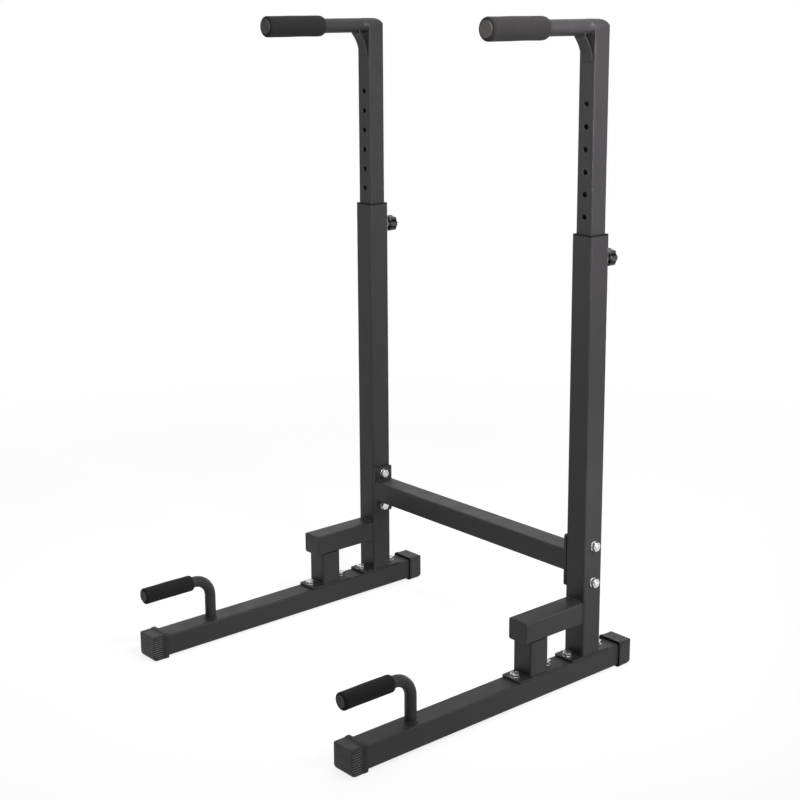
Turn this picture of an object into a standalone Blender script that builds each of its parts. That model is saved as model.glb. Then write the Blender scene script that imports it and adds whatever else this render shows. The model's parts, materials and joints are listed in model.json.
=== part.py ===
"""Free-standing dip stand: two upright frames joined by one crossbar.

Each frame has a base beam with ribbed end caps, a square sleeve held by a stepped bracket, and
an inner tube that slides in the sleeve and carries a dip bar with a foam grip. A sprung pull pin
locks the inner tube at one of eight heights. A bent push-up handle stands on each base beam.

Metres, +Z up, +X to the right as seen from the front, -Y to the front. The origin lies on the
floor, in the middle of the footprint.
"""

import math

import bmesh
import bpy
from mathutils import Matrix, Vector

# Clearances
FIT = 0.0003
SLIDE_FIT = 0.0004
PIN_FIT = 0.0003

# Layout, measured from the axis of the upright
FRAME_SPACING = 0.650
FRONT_REACH = 0.6195
REAR_REACH = 0.119

# Base beam
BEAM_WIDTH = 0.050
BEAM_HEIGHT = 0.045
BEAM_WALL = 0.002
BEAM_CORNER = 0.004

# End caps of the base beam
CAP_FLOOR = 0.0047
CAP_ROOF = 0.0036
CAP_SKIN = 0.0018
CAP_END = 0.005
CAP_LENGTH = 0.036
CAP_COLLAR_LENGTH = 0.009
CAP_COLLAR_STEP = 0.0013
CAP_FOOT_RADIUS = 0.006
CAP_TOP_RADIUS = 0.0035
CAP_TOE_RADIUS = 0.010
CAP_NOSE_RADIUS = 0.003
RIB_PITCH = 0.00475
RIB_GROOVE = 0.0022

# Upright sleeve and its stepped bracket
SLEEVE_SIDE = 0.050
SLEEVE_WALL = 0.002
SLEEVE_CORNER = 0.004
SLEEVE_LENGTH = 0.845
STEP_SIDE = 0.048
STEP_WALL = 0.002
STEP_CORNER = 0.004
STEP_ARM_HEIGHT = 0.044
STEP_POST_LENGTH = 0.070
STEP_REACH = 0.1852
STEP_POST_OFFSET = 0.148
STEP_ARM_NOSE = 0.003

# Foot plates and their bolts
PLATE_LENGTH = 0.110
PLATE_THICKNESS = 0.004
PLATE_BOLT_OFFSET = 0.043

# Crossbar
CROSSBAR_DEPTH = 0.050
CROSSBAR_HEIGHT = 0.045
CROSSBAR_WALL = 0.002
CROSSBAR_CORNER = 0.004
CROSSBAR_Z = 0.2445
END_PLATE_HEIGHT = 0.107
END_PLATE_THICKNESS = 0.006
CROSS_BOLT_OFFSET = 0.038

# Inner tube, its holes and its guides
INNER_SIDE = 0.040
INNER_WALL = 0.002
INNER_CORNER = 0.003
INNER_LENGTH = 0.737
ELBOW_RADIUS = 0.020
ELBOW_ROOF = 0.004
HOLE_DIAMETER = 0.0106
HOLE_PITCH = 0.0423
HOLE_COUNT = 8
PIN_BELOW_MOUTH = 0.0486
HEAD_ABOVE_PIN = 0.4517
BUSHING_LENGTH = 0.038
BUSHING_FLANGE = 0.0021
SHOE_LENGTH = 0.020
SHOE_STEM = 0.016
SHOE_WALL = 0.0025

# Dip bar and its foam grip
BAR_DIAMETER = 0.031
BAR_WALL = 0.002
DIP_GRIP_DIAMETER = 0.0445
DIP_GRIP_LENGTH = 0.1455
DIP_GRIP_FRONT = 0.279
DIP_SHOULDER_LENGTH = 0.010
DIP_NOSE_RADIUS = 0.004
SHOULDER_DROP = 0.85
GUSSET_WIDTH = 0.028
GUSSET_WALL = 0.003
GUSSET_HEIGHT = 0.046
GUSSET_REACH = 0.0215
GUSSET_SAG = 0.0045
GUSSET_EDGE = 0.002

# Push-up handle and its foam grip
HANDLE_DIAMETER = 0.023
HANDLE_WALL = 0.002
HANDLE_SETBACK = 0.1595
HANDLE_Z = 0.139
HANDLE_BEND_RADIUS = 0.039
HANDLE_WELD = 0.003
PUSH_GRIP_DIAMETER = 0.0345
PUSH_GRIP_LENGTH = 0.115
PUSH_GRIP_OVERHANG = 0.002
PUSH_SHOULDER_LENGTH = 0.005
PUSH_NOSE_RADIUS = 0.0025

# End plugs of both bars
PLUG_HEAD = 0.0022
PLUG_STEM = 0.014
PLUG_FIT = 0.0006
PLUG_TAPER = 0.0005

# Pull pin
PIN_DIAMETER = 0.009
PIN_NOSE = 0.0015
PIN_REACH = 0.0075
STEM_DIAMETER = 0.006
COLLAR_DIAMETER = 0.0134
COLLAR_LENGTH = 0.002
HOUSING_HEX = 0.024
HOUSING_HEX_LENGTH = 0.007
HOUSING_DIAMETER = 0.019
HOUSING_LENGTH = 0.0235
HOUSING_LIP = 0.004
HOUSING_REAR_LIP = 0.0025
SPRING_WIRE = 0.0009
SPRING_TURNS = 3.0
SPRING_POINTS = 8
KNOB_DIAMETER = 0.037
KNOB_LENGTH = 0.0225
KNOB_LOBES = 7
KNOB_POINTS = 4
KNOB_LOBE_DEPTH = 0.0022
KNOB_EDGE = 0.004
KNOB_SKIRT_GAP = 0.015
KNOB_RECESS = 0.010
KNOB_BORE_DEPTH = 0.008

# Bolts, nuts and washers
BOLT_DIAMETER = 0.010
BOLT_CLEARANCE = 0.0005
HEX_SIZE = 0.017
HEAD_HEIGHT = 0.0064
NUT_HEIGHT = 0.008
WASHER_DIAMETER = 0.020
WASHER_THICKNESS = 0.002
BOLT_TIP = 0.003

# Roundness
CORNER_STEPS = 2
CAP_STEPS = 3
TOE_STEPS = 4
FINE_SIDES = 18
WASHER_SIDES = 12
HOLE_SIDES = 10
SHANK_SIDES = 8
BEND_STEPS = 6
ELBOW_STEPS = 5
SHOULDER_STEPS = 4
FOAM_STEPS = 3
GUSSET_STEPS = 6
TUBE_RESOLUTION = 6
BORE_RESOLUTION = 3
WIRE_RESOLUTION = 1
SMOOTH_BELOW = 50

# Places that follow from the sizes above
HANDLE_OFFSET = FRONT_REACH - HANDLE_SETBACK
PUSH_GRIP_FRONT = FRONT_REACH + PUSH_GRIP_OVERHANG
UPRIGHT_Y = (PUSH_GRIP_FRONT + FIT + PLUG_HEAD - REAR_REACH) / 2
BEAM_Y = UPRIGHT_Y + (REAR_REACH - FRONT_REACH) / 2
FRAME_X = FRAME_SPACING / 2
BEAM_Z = CAP_FLOOR + FIT + BEAM_HEIGHT / 2
BEAM_TOP = CAP_FLOOR + FIT + BEAM_HEIGHT
PLATE_Z = BEAM_TOP + FIT + PLATE_THICKNESS / 2
PLATE_TOP = BEAM_TOP + FIT + PLATE_THICKNESS
STEEL_FOOT = PLATE_TOP + FIT
SLEEVE_TOP = STEEL_FOOT + SLEEVE_LENGTH
SLEEVE_BORE = SLEEVE_SIDE - 2 * SLEEVE_WALL
PIN_Z = SLEEVE_TOP - PIN_BELOW_MOUTH
STEP_ARM_Z = STEEL_FOOT + STEP_POST_LENGTH + FIT + STEP_ARM_HEIGHT / 2
INNER_TOP = PIN_Z + HEAD_ABOVE_PIN
INNER_BOTTOM = INNER_TOP - INNER_LENGTH
BAR_Z = INNER_TOP - BAR_DIAMETER / 2
BAR_START = INNER_SIDE / 2 + FIT
HOUSING_Y = SLEEVE_SIDE / 2 + FIT
COLLAR_Y = HOUSING_Y + HOUSING_LIP + PIN_FIT
KNOB_Y = SLEEVE_SIDE / 2 + KNOB_SKIRT_GAP

STEEL = "3f3e3e"
FOAM = "2b2a29"
PLASTIC = "343333"
GLOSSY = "141414"
ZINC = "c9cacb"


def clear_scene():
    """Removes whatever the opened file holds."""
    for obj in list(bpy.data.objects):
        bpy.data.objects.remove(obj, do_unlink=True)


def new_collection(name):
    group = bpy.data.collections.new(name)
    bpy.context.scene.collection.children.link(group)
    return group


def linear(channel):
    """One sRGB channel, 0 to 1, as a linear value."""
    return channel / 12.92 if channel <= 0.04045 else ((channel + 0.055) / 1.055) ** 2.4


def new_material(name, colour, roughness, metallic):
    """A plain Principled material in the piece's own colour."""
    made = bpy.data.materials.new(name)
    made.use_nodes = True
    shader = made.node_tree.nodes["Principled BSDF"]
    red, green, blue = (linear(int(colour[i : i + 2], 16) / 255) for i in (0, 2, 4))
    shader.inputs["Base Color"].default_value = (red, green, blue, 1.0)
    shader.inputs["Roughness"].default_value = roughness
    shader.inputs["Metallic"].default_value = metallic
    return made


class Builder:
    """Places finished meshes as parts or as cutters."""

    def __init__(self):
        self.parts = new_collection("dip_stand")
        self.cutters = new_collection("cutters")
        self.cutters.hide_render = True
        self.finishes = {
            "steel": (STEEL, 0.5, 0.0),
            "foam": (FOAM, 0.85, 0.0),
            "plastic": (PLASTIC, 0.6, 0.0),
            "glossy": (GLOSSY, 0.2, 0.0),
            "zinc": (ZINC, 0.3, 1.0),
        }

    def part(self, name, shape, location, finish, rotation=0.0):
        obj = bpy.data.objects.new(name, shape)
        obj.location = location
        obj.rotation_euler = (0.0, 0.0, rotation)
        obj.data.materials.append(new_material(name, *self.finishes[finish]))
        self.parts.objects.link(obj)
        return obj

    def cutter(self, name, shape, location, rotation=0.0):
        obj = bpy.data.objects.new(name, shape)
        obj.location = location
        obj.rotation_euler = (0.0, 0.0, rotation)
        obj.hide_render = True
        obj.display_type = "WIRE"
        self.cutters.objects.link(obj)
        return obj


def boolean(obj, tool, operation="DIFFERENCE"):
    modifier = obj.modifiers.new(operation.lower(), "BOOLEAN")
    modifier.operation = operation
    modifier.solver = "EXACT"
    modifier.object = tool


# Solidify's offset that puts a wall inside its outline
WALL_INWARD = -1.0

# Turns a shape drawn in XY, with its thickness along Z, towards another axis
TURN = {
    "x": Matrix(((0, 0, 1), (1, 0, 0), (0, 1, 0))).to_4x4(),
    "y": Matrix(((1, 0, 0), (0, 0, -1), (0, 1, 0))).to_4x4(),
    "z": Matrix.Identity(4),
}


def to_mesh(name, source):
    """The evaluated mesh of a helper object, welded, with the helper removed."""
    bpy.context.scene.collection.objects.link(source)
    bpy.context.view_layer.update()
    graph = bpy.context.evaluated_depsgraph_get()
    mesh = bpy.data.meshes.new_from_object(source.evaluated_get(graph))
    mesh.name = name
    bpy.data.objects.remove(source, do_unlink=True)
    return mesh


def tidy(mesh, matrix=None, offset=(0.0, 0.0, 0.0), smooth_below=None):
    """Welds, turns and shifts a mesh, and points its faces out."""
    shape = bmesh.new()
    shape.from_mesh(mesh)
    bmesh.ops.remove_doubles(shape, verts=shape.verts, dist=1e-6)
    if matrix is not None:
        bmesh.ops.transform(shape, matrix=matrix, verts=shape.verts)
    bmesh.ops.translate(shape, vec=Vector(offset), verts=shape.verts)
    bmesh.ops.recalc_face_normals(shape, faces=shape.faces)
    shape.to_mesh(mesh)
    shape.free()
    if smooth_below is not None:
        mesh.shade_smooth()
        mesh.set_sharp_from_angle(angle=math.radians(smooth_below))
    return mesh


def outline_curve(name, loops, thickness, fill):
    """A 2D curve object of closed outlines, extruded both ways."""
    curve = bpy.data.curves.new(name, "CURVE")
    curve.dimensions = "2D"
    curve.fill_mode = fill
    curve.extrude = thickness / 2
    for loop in loops:
        spline = curve.splines.new("POLY")
        spline.points.add(len(loop) - 1)
        for point, (x, y) in zip(spline.points, loop):
            point.co = (x, y, 0.0, 1.0)
        spline.use_cyclic_u = True
    return bpy.data.objects.new(name, curve)


def prism(name, loops, thickness, axis, offset=(0.0, 0.0, 0.0), smooth=True):
    """A flat outline with its holes, thickened both ways along an axis."""
    mesh = to_mesh(name, outline_curve(name, loops, thickness, "BOTH"))
    return tidy(mesh, TURN[axis], offset, SMOOTH_BELOW if smooth else None)


def arc(centre, radius, start, end, steps):
    """Points along an arc, with its angles in degrees."""
    found = []
    for i in range(steps + 1):
        angle = math.radians(start + (end - start) * i / steps)
        found.append((centre[0] + radius * math.cos(angle), centre[1] + radius * math.sin(angle)))
    return found


def rounded(width, height, radii, steps=CORNER_STEPS):
    """A rectangle about the origin, with radii at top right, top left, bottom left, bottom right."""
    if not isinstance(radii, tuple):
        radii = (radii,) * 4
    points = []
    signs = ((1, 1), (-1, 1), (-1, -1), (1, -1))
    for i, (radius, (sx, sy)) in enumerate(zip(radii, signs)):
        centre = (sx * (width / 2 - radius), sy * (height / 2 - radius))
        if radius > 0:
            points += arc(centre, radius, 90 * i, 90 * (i + 1), steps)
        else:
            points.append(centre)
    return points


def hollow(name, width, height, corner, wall, length, axis):
    """A square or rectangular tube of even wall, open at both ends."""
    skin = outline_curve(name, [rounded(width, height, corner)], length, "NONE")
    thicken = skin.modifiers.new("wall", "SOLIDIFY")
    thicken.thickness = wall
    thicken.offset = WALL_INWARD
    thicken.use_even_offset = True
    return tidy(to_mesh(name, skin), TURN[axis], smooth_below=SMOOTH_BELOW)


def turned(name, profile, axis, sides=FINE_SIDES, closed=False, offset=(0.0, 0.0, 0.0)):
    """A round shape: a profile of (radius, height) that runs down its outer side."""
    mesh = bpy.data.meshes.new(name)
    edges = [(i, i + 1) for i in range(len(profile) - 1)]
    if closed:
        edges.append((len(profile) - 1, 0))
    mesh.from_pydata([(radius, 0.0, height) for radius, height in profile], edges, [])
    obj = bpy.data.objects.new(name, mesh)
    spin = obj.modifiers.new("spin", "SCREW")
    spin.axis = "Z"
    spin.angle = 2 * math.pi
    spin.steps = sides
    spin.render_steps = sides
    spin.use_merge_vertices = True
    spin.merge_threshold = 1e-6
    return tidy(to_mesh(name, obj), TURN[axis], offset, SMOOTH_BELOW)


def rod(name, radius, length, axis, centres, sides=HOLE_SIDES):
    """One or more cylinders of one size, with their middles at the centres."""
    shape = bmesh.new()
    for centre in centres:
        bmesh.ops.create_cone(
            shape,
            cap_ends=True,
            segments=sides,
            radius1=radius,
            radius2=radius,
            depth=length,
            matrix=Matrix.Translation(centre) @ TURN[axis],
        )
    mesh = bpy.data.meshes.new(name)
    shape.to_mesh(mesh)
    shape.free()
    return mesh


def block(name, size, centres):
    """One or more boxes of one size."""
    shape = bmesh.new()
    for centre in centres:
        place = Matrix.Translation(centre) @ Matrix.Diagonal((*size, 1.0))
        bmesh.ops.create_cube(shape, size=1.0, matrix=place)
    mesh = bpy.data.meshes.new(name)
    shape.to_mesh(mesh)
    shape.free()
    return mesh


def swept(name, path, radius, resolution):
    """A round rod along a path of points, with closed ends."""
    curve = bpy.data.curves.new(name, "CURVE")
    curve.dimensions = "3D"
    curve.bevel_depth = radius
    curve.bevel_resolution = resolution
    curve.use_fill_caps = True
    spline = curve.splines.new("POLY")
    spline.points.add(len(path) - 1)
    for point, place in zip(spline.points, path):
        point.co = (*place, 1.0)
    return tidy(to_mesh(name, bpy.data.objects.new(name, curve)), smooth_below=SMOOTH_BELOW)


def hexagon(size):
    """A hexagon's corners, given the distance across its flats."""
    return [
        (size / math.sqrt(3) * math.cos(math.pi / 3 * i), size / math.sqrt(3) * math.sin(math.pi / 3 * i))
        for i in range(6)
    ]


def base_beam(builder, side, x):
    """The square beam on the floor, drilled for the foot bolts."""
    length = FRONT_REACH + REAR_REACH - 2 * (CAP_END + FIT)
    beam = builder.part(
        f"base_beam_{side}",
        hollow("base_beam", BEAM_WIDTH, BEAM_HEIGHT, BEAM_CORNER, BEAM_WALL, length, "y"),
        (x, BEAM_Y, BEAM_Z),
        "steel",
    )
    holes = [(0.0, y, 0.0) for y in foot_bolt_places()]
    drill = rod("beam_drill", BOLT_DIAMETER / 2 + BOLT_CLEARANCE, 4 * BEAM_WALL, "z", holes)
    boolean(beam, builder.cutter(f"beam_drill_{side}", drill, (x, 0.0, BEAM_TOP - BEAM_WALL / 2)))


def foot_bolt_places():
    """Y of the four foot bolts of one frame, front to rear."""
    places = []
    for centre in (UPRIGHT_Y - STEP_POST_OFFSET, UPRIGHT_Y):
        places += [centre - PLATE_BOLT_OFFSET, centre + PLATE_BOLT_OFFSET]
    return places


def cap_ribs():
    """Grooves along the roof and both sides of a cap, which leave ribs between them."""
    width = BEAM_WIDTH + 2 * (CAP_SKIN + FIT)
    height = CAP_FLOOR + BEAM_HEIGHT + 2 * FIT + CAP_ROOF
    length = CAP_LENGTH - CAP_COLLAR_LENGTH + RIB_GROOVE
    middle = length / 2 - RIB_GROOVE
    shape = bmesh.new()
    roof_count = int((width - 2 * CAP_TOP_RADIUS) / RIB_PITCH)
    places = [((i - (roof_count - 1) / 2) * RIB_PITCH, height) for i in range(roof_count)]
    wall_count = int((height - CAP_TOP_RADIUS - CAP_FOOT_RADIUS) / RIB_PITCH)
    for i in range(wall_count):
        z = CAP_FOOT_RADIUS + (i + 0.5) * RIB_PITCH
        places += [(-width / 2, z), (width / 2, z)]
    side = RIB_GROOVE / math.sqrt(2)
    groove = Matrix.Rotation(math.radians(45), 4, "Y") @ Matrix.Diagonal((side, length, side, 1.0))
    for x, z in places:
        bmesh.ops.create_cube(shape, size=1.0, matrix=Matrix.Translation((x, middle, z)) @ groove)
    mesh = bpy.data.meshes.new("cap_ribs")
    shape.to_mesh(mesh)
    shape.free()
    return mesh


def end_cap(builder, name, x, y, rotation):
    """A moulded cap and foot. Its end face is at y, and the cap runs towards +Y before rotation."""
    width = BEAM_WIDTH + 2 * (CAP_SKIN + FIT)
    height = CAP_FLOOR + BEAM_HEIGHT + 2 * FIT + CAP_ROOF
    place = (x, y, 0.0)
    radii = (CAP_TOP_RADIUS, CAP_TOP_RADIUS, CAP_FOOT_RADIUS, CAP_FOOT_RADIUS)
    middle = (0.0, CAP_LENGTH / 2, height / 2)
    outline = rounded(width, height, radii, CAP_STEPS)
    body = prism("end_cap", [outline], CAP_LENGTH, "y", middle)
    cap = builder.part(name, body, place, "plastic", rotation)

    collar_width = width + 2 * CAP_COLLAR_STEP
    collar_height = height + CAP_COLLAR_STEP
    collar = prism(
        "collar",
        [rounded(collar_width, collar_height, radii, CAP_STEPS)],
        CAP_COLLAR_LENGTH,
        "y",
        (0.0, CAP_LENGTH - CAP_COLLAR_LENGTH / 2, collar_height / 2),
    )
    boolean(cap, builder.cutter(f"{name}_collar", collar, place, rotation), "UNION")

    above = collar_height / 2 + CAP_END
    below = -collar_height / 2
    behind = CAP_LENGTH + CAP_END
    nose = [(CAP_NOSE_RADIUS, above), (behind, above), (behind, below)]
    nose += arc((CAP_TOE_RADIUS, below + CAP_TOE_RADIUS), CAP_TOE_RADIUS, 270, 180, TOE_STEPS)
    nose += arc((CAP_NOSE_RADIUS, below + height - CAP_NOSE_RADIUS), CAP_NOSE_RADIUS, 180, 90, CORNER_STEPS)
    envelope = prism("nose", [nose], 2 * collar_width, "x", (0.0, 0.0, collar_height / 2))
    boolean(cap, builder.cutter(f"{name}_nose", envelope, place, rotation), "INTERSECT")

    socket = prism(
        "socket",
        [rounded(BEAM_WIDTH + 2 * FIT, BEAM_HEIGHT + 2 * FIT, BEAM_CORNER)],
        CAP_LENGTH,
        "y",
        (0.0, CAP_END + CAP_LENGTH / 2, BEAM_Z),
    )
    boolean(cap, builder.cutter(f"{name}_socket", socket, place, rotation))
    boolean(cap, builder.cutter(f"{name}_ribs", cap_ribs(), place, rotation))


def sleeve(builder, side, x):
    """The upright's outer tube, drilled for the pull pin and the crossbar's bolts."""
    tube = builder.part(
        f"upright_sleeve_{side}",
        hollow("sleeve", SLEEVE_SIDE, SLEEVE_SIDE, SLEEVE_CORNER, SLEEVE_WALL, SLEEVE_LENGTH, "z"),
        (x, UPRIGHT_Y, STEEL_FOOT + SLEEVE_LENGTH / 2),
        "steel",
    )
    pin_hole = rod(
        "pin_hole",
        PIN_DIAMETER / 2 + PIN_FIT,
        4 * SLEEVE_WALL,
        "y",
        [(0.0, (SLEEVE_SIDE - SLEEVE_WALL) / 2, PIN_Z)],
    )
    boolean(tube, builder.cutter(f"pin_hole_{side}", pin_hole, (x, UPRIGHT_Y, 0.0)))
    bolts = rod(
        "cross_drill",
        BOLT_DIAMETER / 2 + BOLT_CLEARANCE,
        2 * SLEEVE_SIDE,
        "x",
        [(0.0, 0.0, CROSSBAR_Z + up * CROSS_BOLT_OFFSET) for up in (-1, 1)],
    )
    boolean(tube, builder.cutter(f"cross_drill_{side}", bolts, (x, UPRIGHT_Y, 0.0)))


def foot_plate(builder, name, x, y):
    """A flat plate under a tube, with one bolt in front of the tube and one behind it."""
    outline = rounded(BEAM_WIDTH, PLATE_LENGTH, PLATE_THICKNESS / 2, 1)
    plate = builder.part(name, prism("plate", [outline], PLATE_THICKNESS, "z"), (x, y, PLATE_Z), "steel")
    holes = [(0.0, step * PLATE_BOLT_OFFSET, 0.0) for step in (-1, 1)]
    drill = rod("plate_drill", BOLT_DIAMETER / 2 + BOLT_CLEARANCE, 4 * PLATE_THICKNESS, "z", holes)
    boolean(plate, builder.cutter(f"{name}_drill", drill, (x, y, PLATE_Z)))


def step_bracket(builder, side, x):
    """The short post and the arm that ties its head to the sleeve."""
    post = hollow("step_post", STEP_SIDE, STEP_SIDE, STEP_CORNER, STEP_WALL, STEP_POST_LENGTH, "z")
    post_y = UPRIGHT_Y - STEP_POST_OFFSET
    builder.part(f"step_post_{side}", post, (x, post_y, STEEL_FOOT + STEP_POST_LENGTH / 2), "steel")

    length = STEP_REACH - SLEEVE_SIDE / 2 - FIT
    middle = UPRIGHT_Y - SLEEVE_SIDE / 2 - FIT - length / 2
    outline = rounded(STEP_SIDE, STEP_ARM_HEIGHT, STEP_CORNER)
    arm = builder.part(
        f"step_arm_{side}", prism("step_arm", [outline], length, "y"), (x, middle, STEP_ARM_Z), "steel"
    )
    bore = rounded(STEP_SIDE - 2 * STEP_WALL, STEP_ARM_HEIGHT - 2 * STEP_WALL, STEP_CORNER - STEP_WALL)
    core = prism("step_bore", [bore], length, "y", (0.0, STEP_ARM_NOSE, 0.0))
    boolean(arm, builder.cutter(f"step_bore_{side}", core, (x, middle, STEP_ARM_Z)))


def inner_tube(builder, side, x):
    """The sliding tube: closed and rounded at its head, where the dip bar leaves it."""
    middle = (INNER_TOP + INNER_BOTTOM) / 2
    body = prism("inner_tube", [rounded(INNER_SIDE, INNER_SIDE, INNER_CORNER)], INNER_LENGTH, "z")
    tube = builder.part(f"inner_tube_{side}", body, (x, UPRIGHT_Y, middle), "steel")

    half = INNER_SIDE / 2
    over = INNER_SIDE / 4
    low = -INNER_LENGTH / 2 - over
    high = INNER_LENGTH / 2
    from_side = [(-half - over, low), (half + over, low), (half + over, high - 2 * ELBOW_RADIUS)]
    from_side.append((half, high - 2 * ELBOW_RADIUS))
    from_side += arc((half - ELBOW_RADIUS, high - ELBOW_RADIUS), ELBOW_RADIUS, 0, 90, ELBOW_STEPS)
    from_side.append((-half - over, high))
    elbow = prism("elbow", [from_side], 2 * INNER_SIDE, "x")
    boolean(tube, builder.cutter(f"elbow_{side}", elbow, (x, UPRIGHT_Y, middle)), "INTERSECT")

    crown = BAR_DIAMETER / 2
    from_front = [(-half - over, low), (half + over, low), (half + over, high - 2 * crown)]
    from_front.append((half, high - 2 * crown))
    from_front += arc((half - crown, high - crown), crown, 0, 90, SHOULDER_STEPS)
    from_front += arc((crown - half, high - crown), crown, 90, 180, SHOULDER_STEPS)
    from_front += [(-half, high - 2 * crown), (-half - over, high - 2 * crown)]
    shoulder = prism("shoulder", [from_front], 2 * INNER_SIDE, "y")
    boolean(tube, builder.cutter(f"shoulder_{side}", shoulder, (x, UPRIGHT_Y, middle)), "INTERSECT")

    bore_side = INNER_SIDE - 2 * INNER_WALL
    bore_top = INNER_TOP - BAR_DIAMETER - ELBOW_ROOF
    core = block(
        "inner_bore",
        (bore_side, bore_side, bore_top - INNER_BOTTOM + over),
        [(0.0, 0.0, (bore_top + INNER_BOTTOM - over) / 2)],
    )
    boolean(tube, builder.cutter(f"inner_bore_{side}", core, (x, UPRIGHT_Y, 0.0)))
    holes = [(0.0, 0.0, PIN_Z + i * HOLE_PITCH) for i in range(HOLE_COUNT)]
    drill = rod("height_holes", HOLE_DIAMETER / 2, 2 * INNER_SIDE, "y", holes)
    boolean(tube, builder.cutter(f"height_holes_{side}", drill, (x, UPRIGHT_Y, 0.0)))


def guides(builder, side, x):
    """The plastic bushing in the sleeve's mouth and the shoe on the inner tube's foot."""
    inner = INNER_SIDE + 2 * SLIDE_FIT
    bore = rounded(inner, inner, INNER_CORNER)
    liner = SLEEVE_BORE - 2 * FIT
    lining = prism(
        "bushing",
        [rounded(liner, liner, SLEEVE_WALL), bore],
        BUSHING_LENGTH,
        "z",
        (0.0, 0.0, SLEEVE_TOP + FIT - BUSHING_LENGTH / 2),
    )
    bushing = builder.part(f"sleeve_bushing_{side}", lining, (x, UPRIGHT_Y, 0.0), "plastic")
    flange = prism(
        "bushing_flange",
        [rounded(SLEEVE_SIDE, SLEEVE_SIDE, SLEEVE_CORNER), bore],
        BUSHING_FLANGE,
        "z",
        (0.0, 0.0, SLEEVE_TOP + FIT + BUSHING_FLANGE / 2),
    )
    boolean(bushing, builder.cutter(f"bushing_flange_{side}", flange, (x, UPRIGHT_Y, 0.0)), "UNION")

    skirt = SLEEVE_BORE - 2 * SLIDE_FIT
    top = INNER_BOTTOM - FIT
    body = prism(
        "shoe",
        [rounded(skirt, skirt, SLEEVE_WALL)],
        SHOE_LENGTH,
        "z",
        (0.0, 0.0, top - SHOE_LENGTH / 2),
    )
    shoe = builder.part(f"guide_shoe_{side}", body, (x, UPRIGHT_Y, 0.0), "plastic")
    stem_side = INNER_SIDE - 2 * INNER_WALL - 2 * FIT
    stem = prism(
        "shoe_stem",
        [rounded(stem_side, stem_side, SLEEVE_WALL)],
        2 * SHOE_STEM,
        "z",
        (0.0, 0.0, top),
    )
    boolean(shoe, builder.cutter(f"shoe_stem_{side}", stem, (x, UPRIGHT_Y, 0.0)), "UNION")
    hollow_side = stem_side - 2 * SHOE_WALL
    core = block("shoe_core", (hollow_side, hollow_side, 2 * SHOE_LENGTH + 2 * SHOE_STEM), [(0.0, 0.0, top)])
    boolean(shoe, builder.cutter(f"shoe_core_{side}", core, (x, UPRIGHT_Y, 0.0)))


def foam_profile(bore, outer, front, rear, nose, shoulder):
    """Half section of a foam sleeve, front to rear, with a rounded nose and a tapered shoulder."""
    points = [(bore, front)]
    points += [(outer - nose + r, front - nose + z) for r, z in arc((0.0, 0.0), nose, 90, 0, 2)]
    drop = (outer - bore) * SHOULDER_DROP
    for i in range(FOAM_STEPS + 1):
        angle = math.pi / 2 * i / FOAM_STEPS
        points.append((outer - drop + drop * math.cos(angle), rear + shoulder - shoulder * math.sin(angle)))
    points.append((bore, rear))
    return points


def grip_and_plug(builder, name, side, place, bar, front, grip):
    """A foam sleeve on the end of a bar, and the plug that closes the bar and holds the sleeve."""
    bar_diameter, bar_wall = bar
    diameter, length, shoulder, nose = grip
    foam = turned(
        "foam",
        foam_profile(bar_diameter / 2 + FIT, diameter / 2, front, front - length, nose, shoulder),
        "y",
        closed=True,
    )
    builder.part(f"{name}_grip_{side}", foam, place, "foam")

    bore = bar_diameter / 2 - bar_wall - PLUG_FIT
    head = bar_diameter / 2
    face = front + FIT + PLUG_HEAD
    profile = [
        (0.0, face),
        (head - PLUG_HEAD, face),
        (head, face - PLUG_HEAD / 2),
        (head, front + FIT),
        (bore, front + FIT),
        (bore - PLUG_TAPER, front - PLUG_STEM),
        (0.0, front - PLUG_STEM),
    ]
    builder.part(f"{name}_plug_{side}", turned("plug", profile, "y"), place, "plastic")


def gusset_outline():
    """The gusset from the side, about the bar's axis: a sheet with a hollow front face, from
    the bar's underside down to the tube. Both its sides are open."""
    seat = -BAR_DIAMETER / 2 - FIT
    tip = Vector((-BAR_START - GUSSET_REACH, seat - GUSSET_EDGE))
    foot = Vector((-BAR_START - GUSSET_EDGE, seat - GUSSET_HEIGHT))
    run = foot - tip
    inward = Vector((-run.y, run.x)).normalized()

    def face(back):
        """One face of the sheet, moved back from the front one."""
        points = [(tip.x + back, -BAR_DIAMETER / 4)]
        for i in range(GUSSET_STEPS + 1):
            share = i / GUSSET_STEPS
            point = tip + run * share + inward * (back + GUSSET_SAG * 4 * share * (1 - share))
            if point.x < -BAR_START:
                points.append(tuple(point))
        return points

    rear = face(GUSSET_WALL)
    landing = [(-BAR_START, foot.y), (-BAR_START, rear[-1][1])]
    return face(0.0) + landing + list(reversed(rear))


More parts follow.
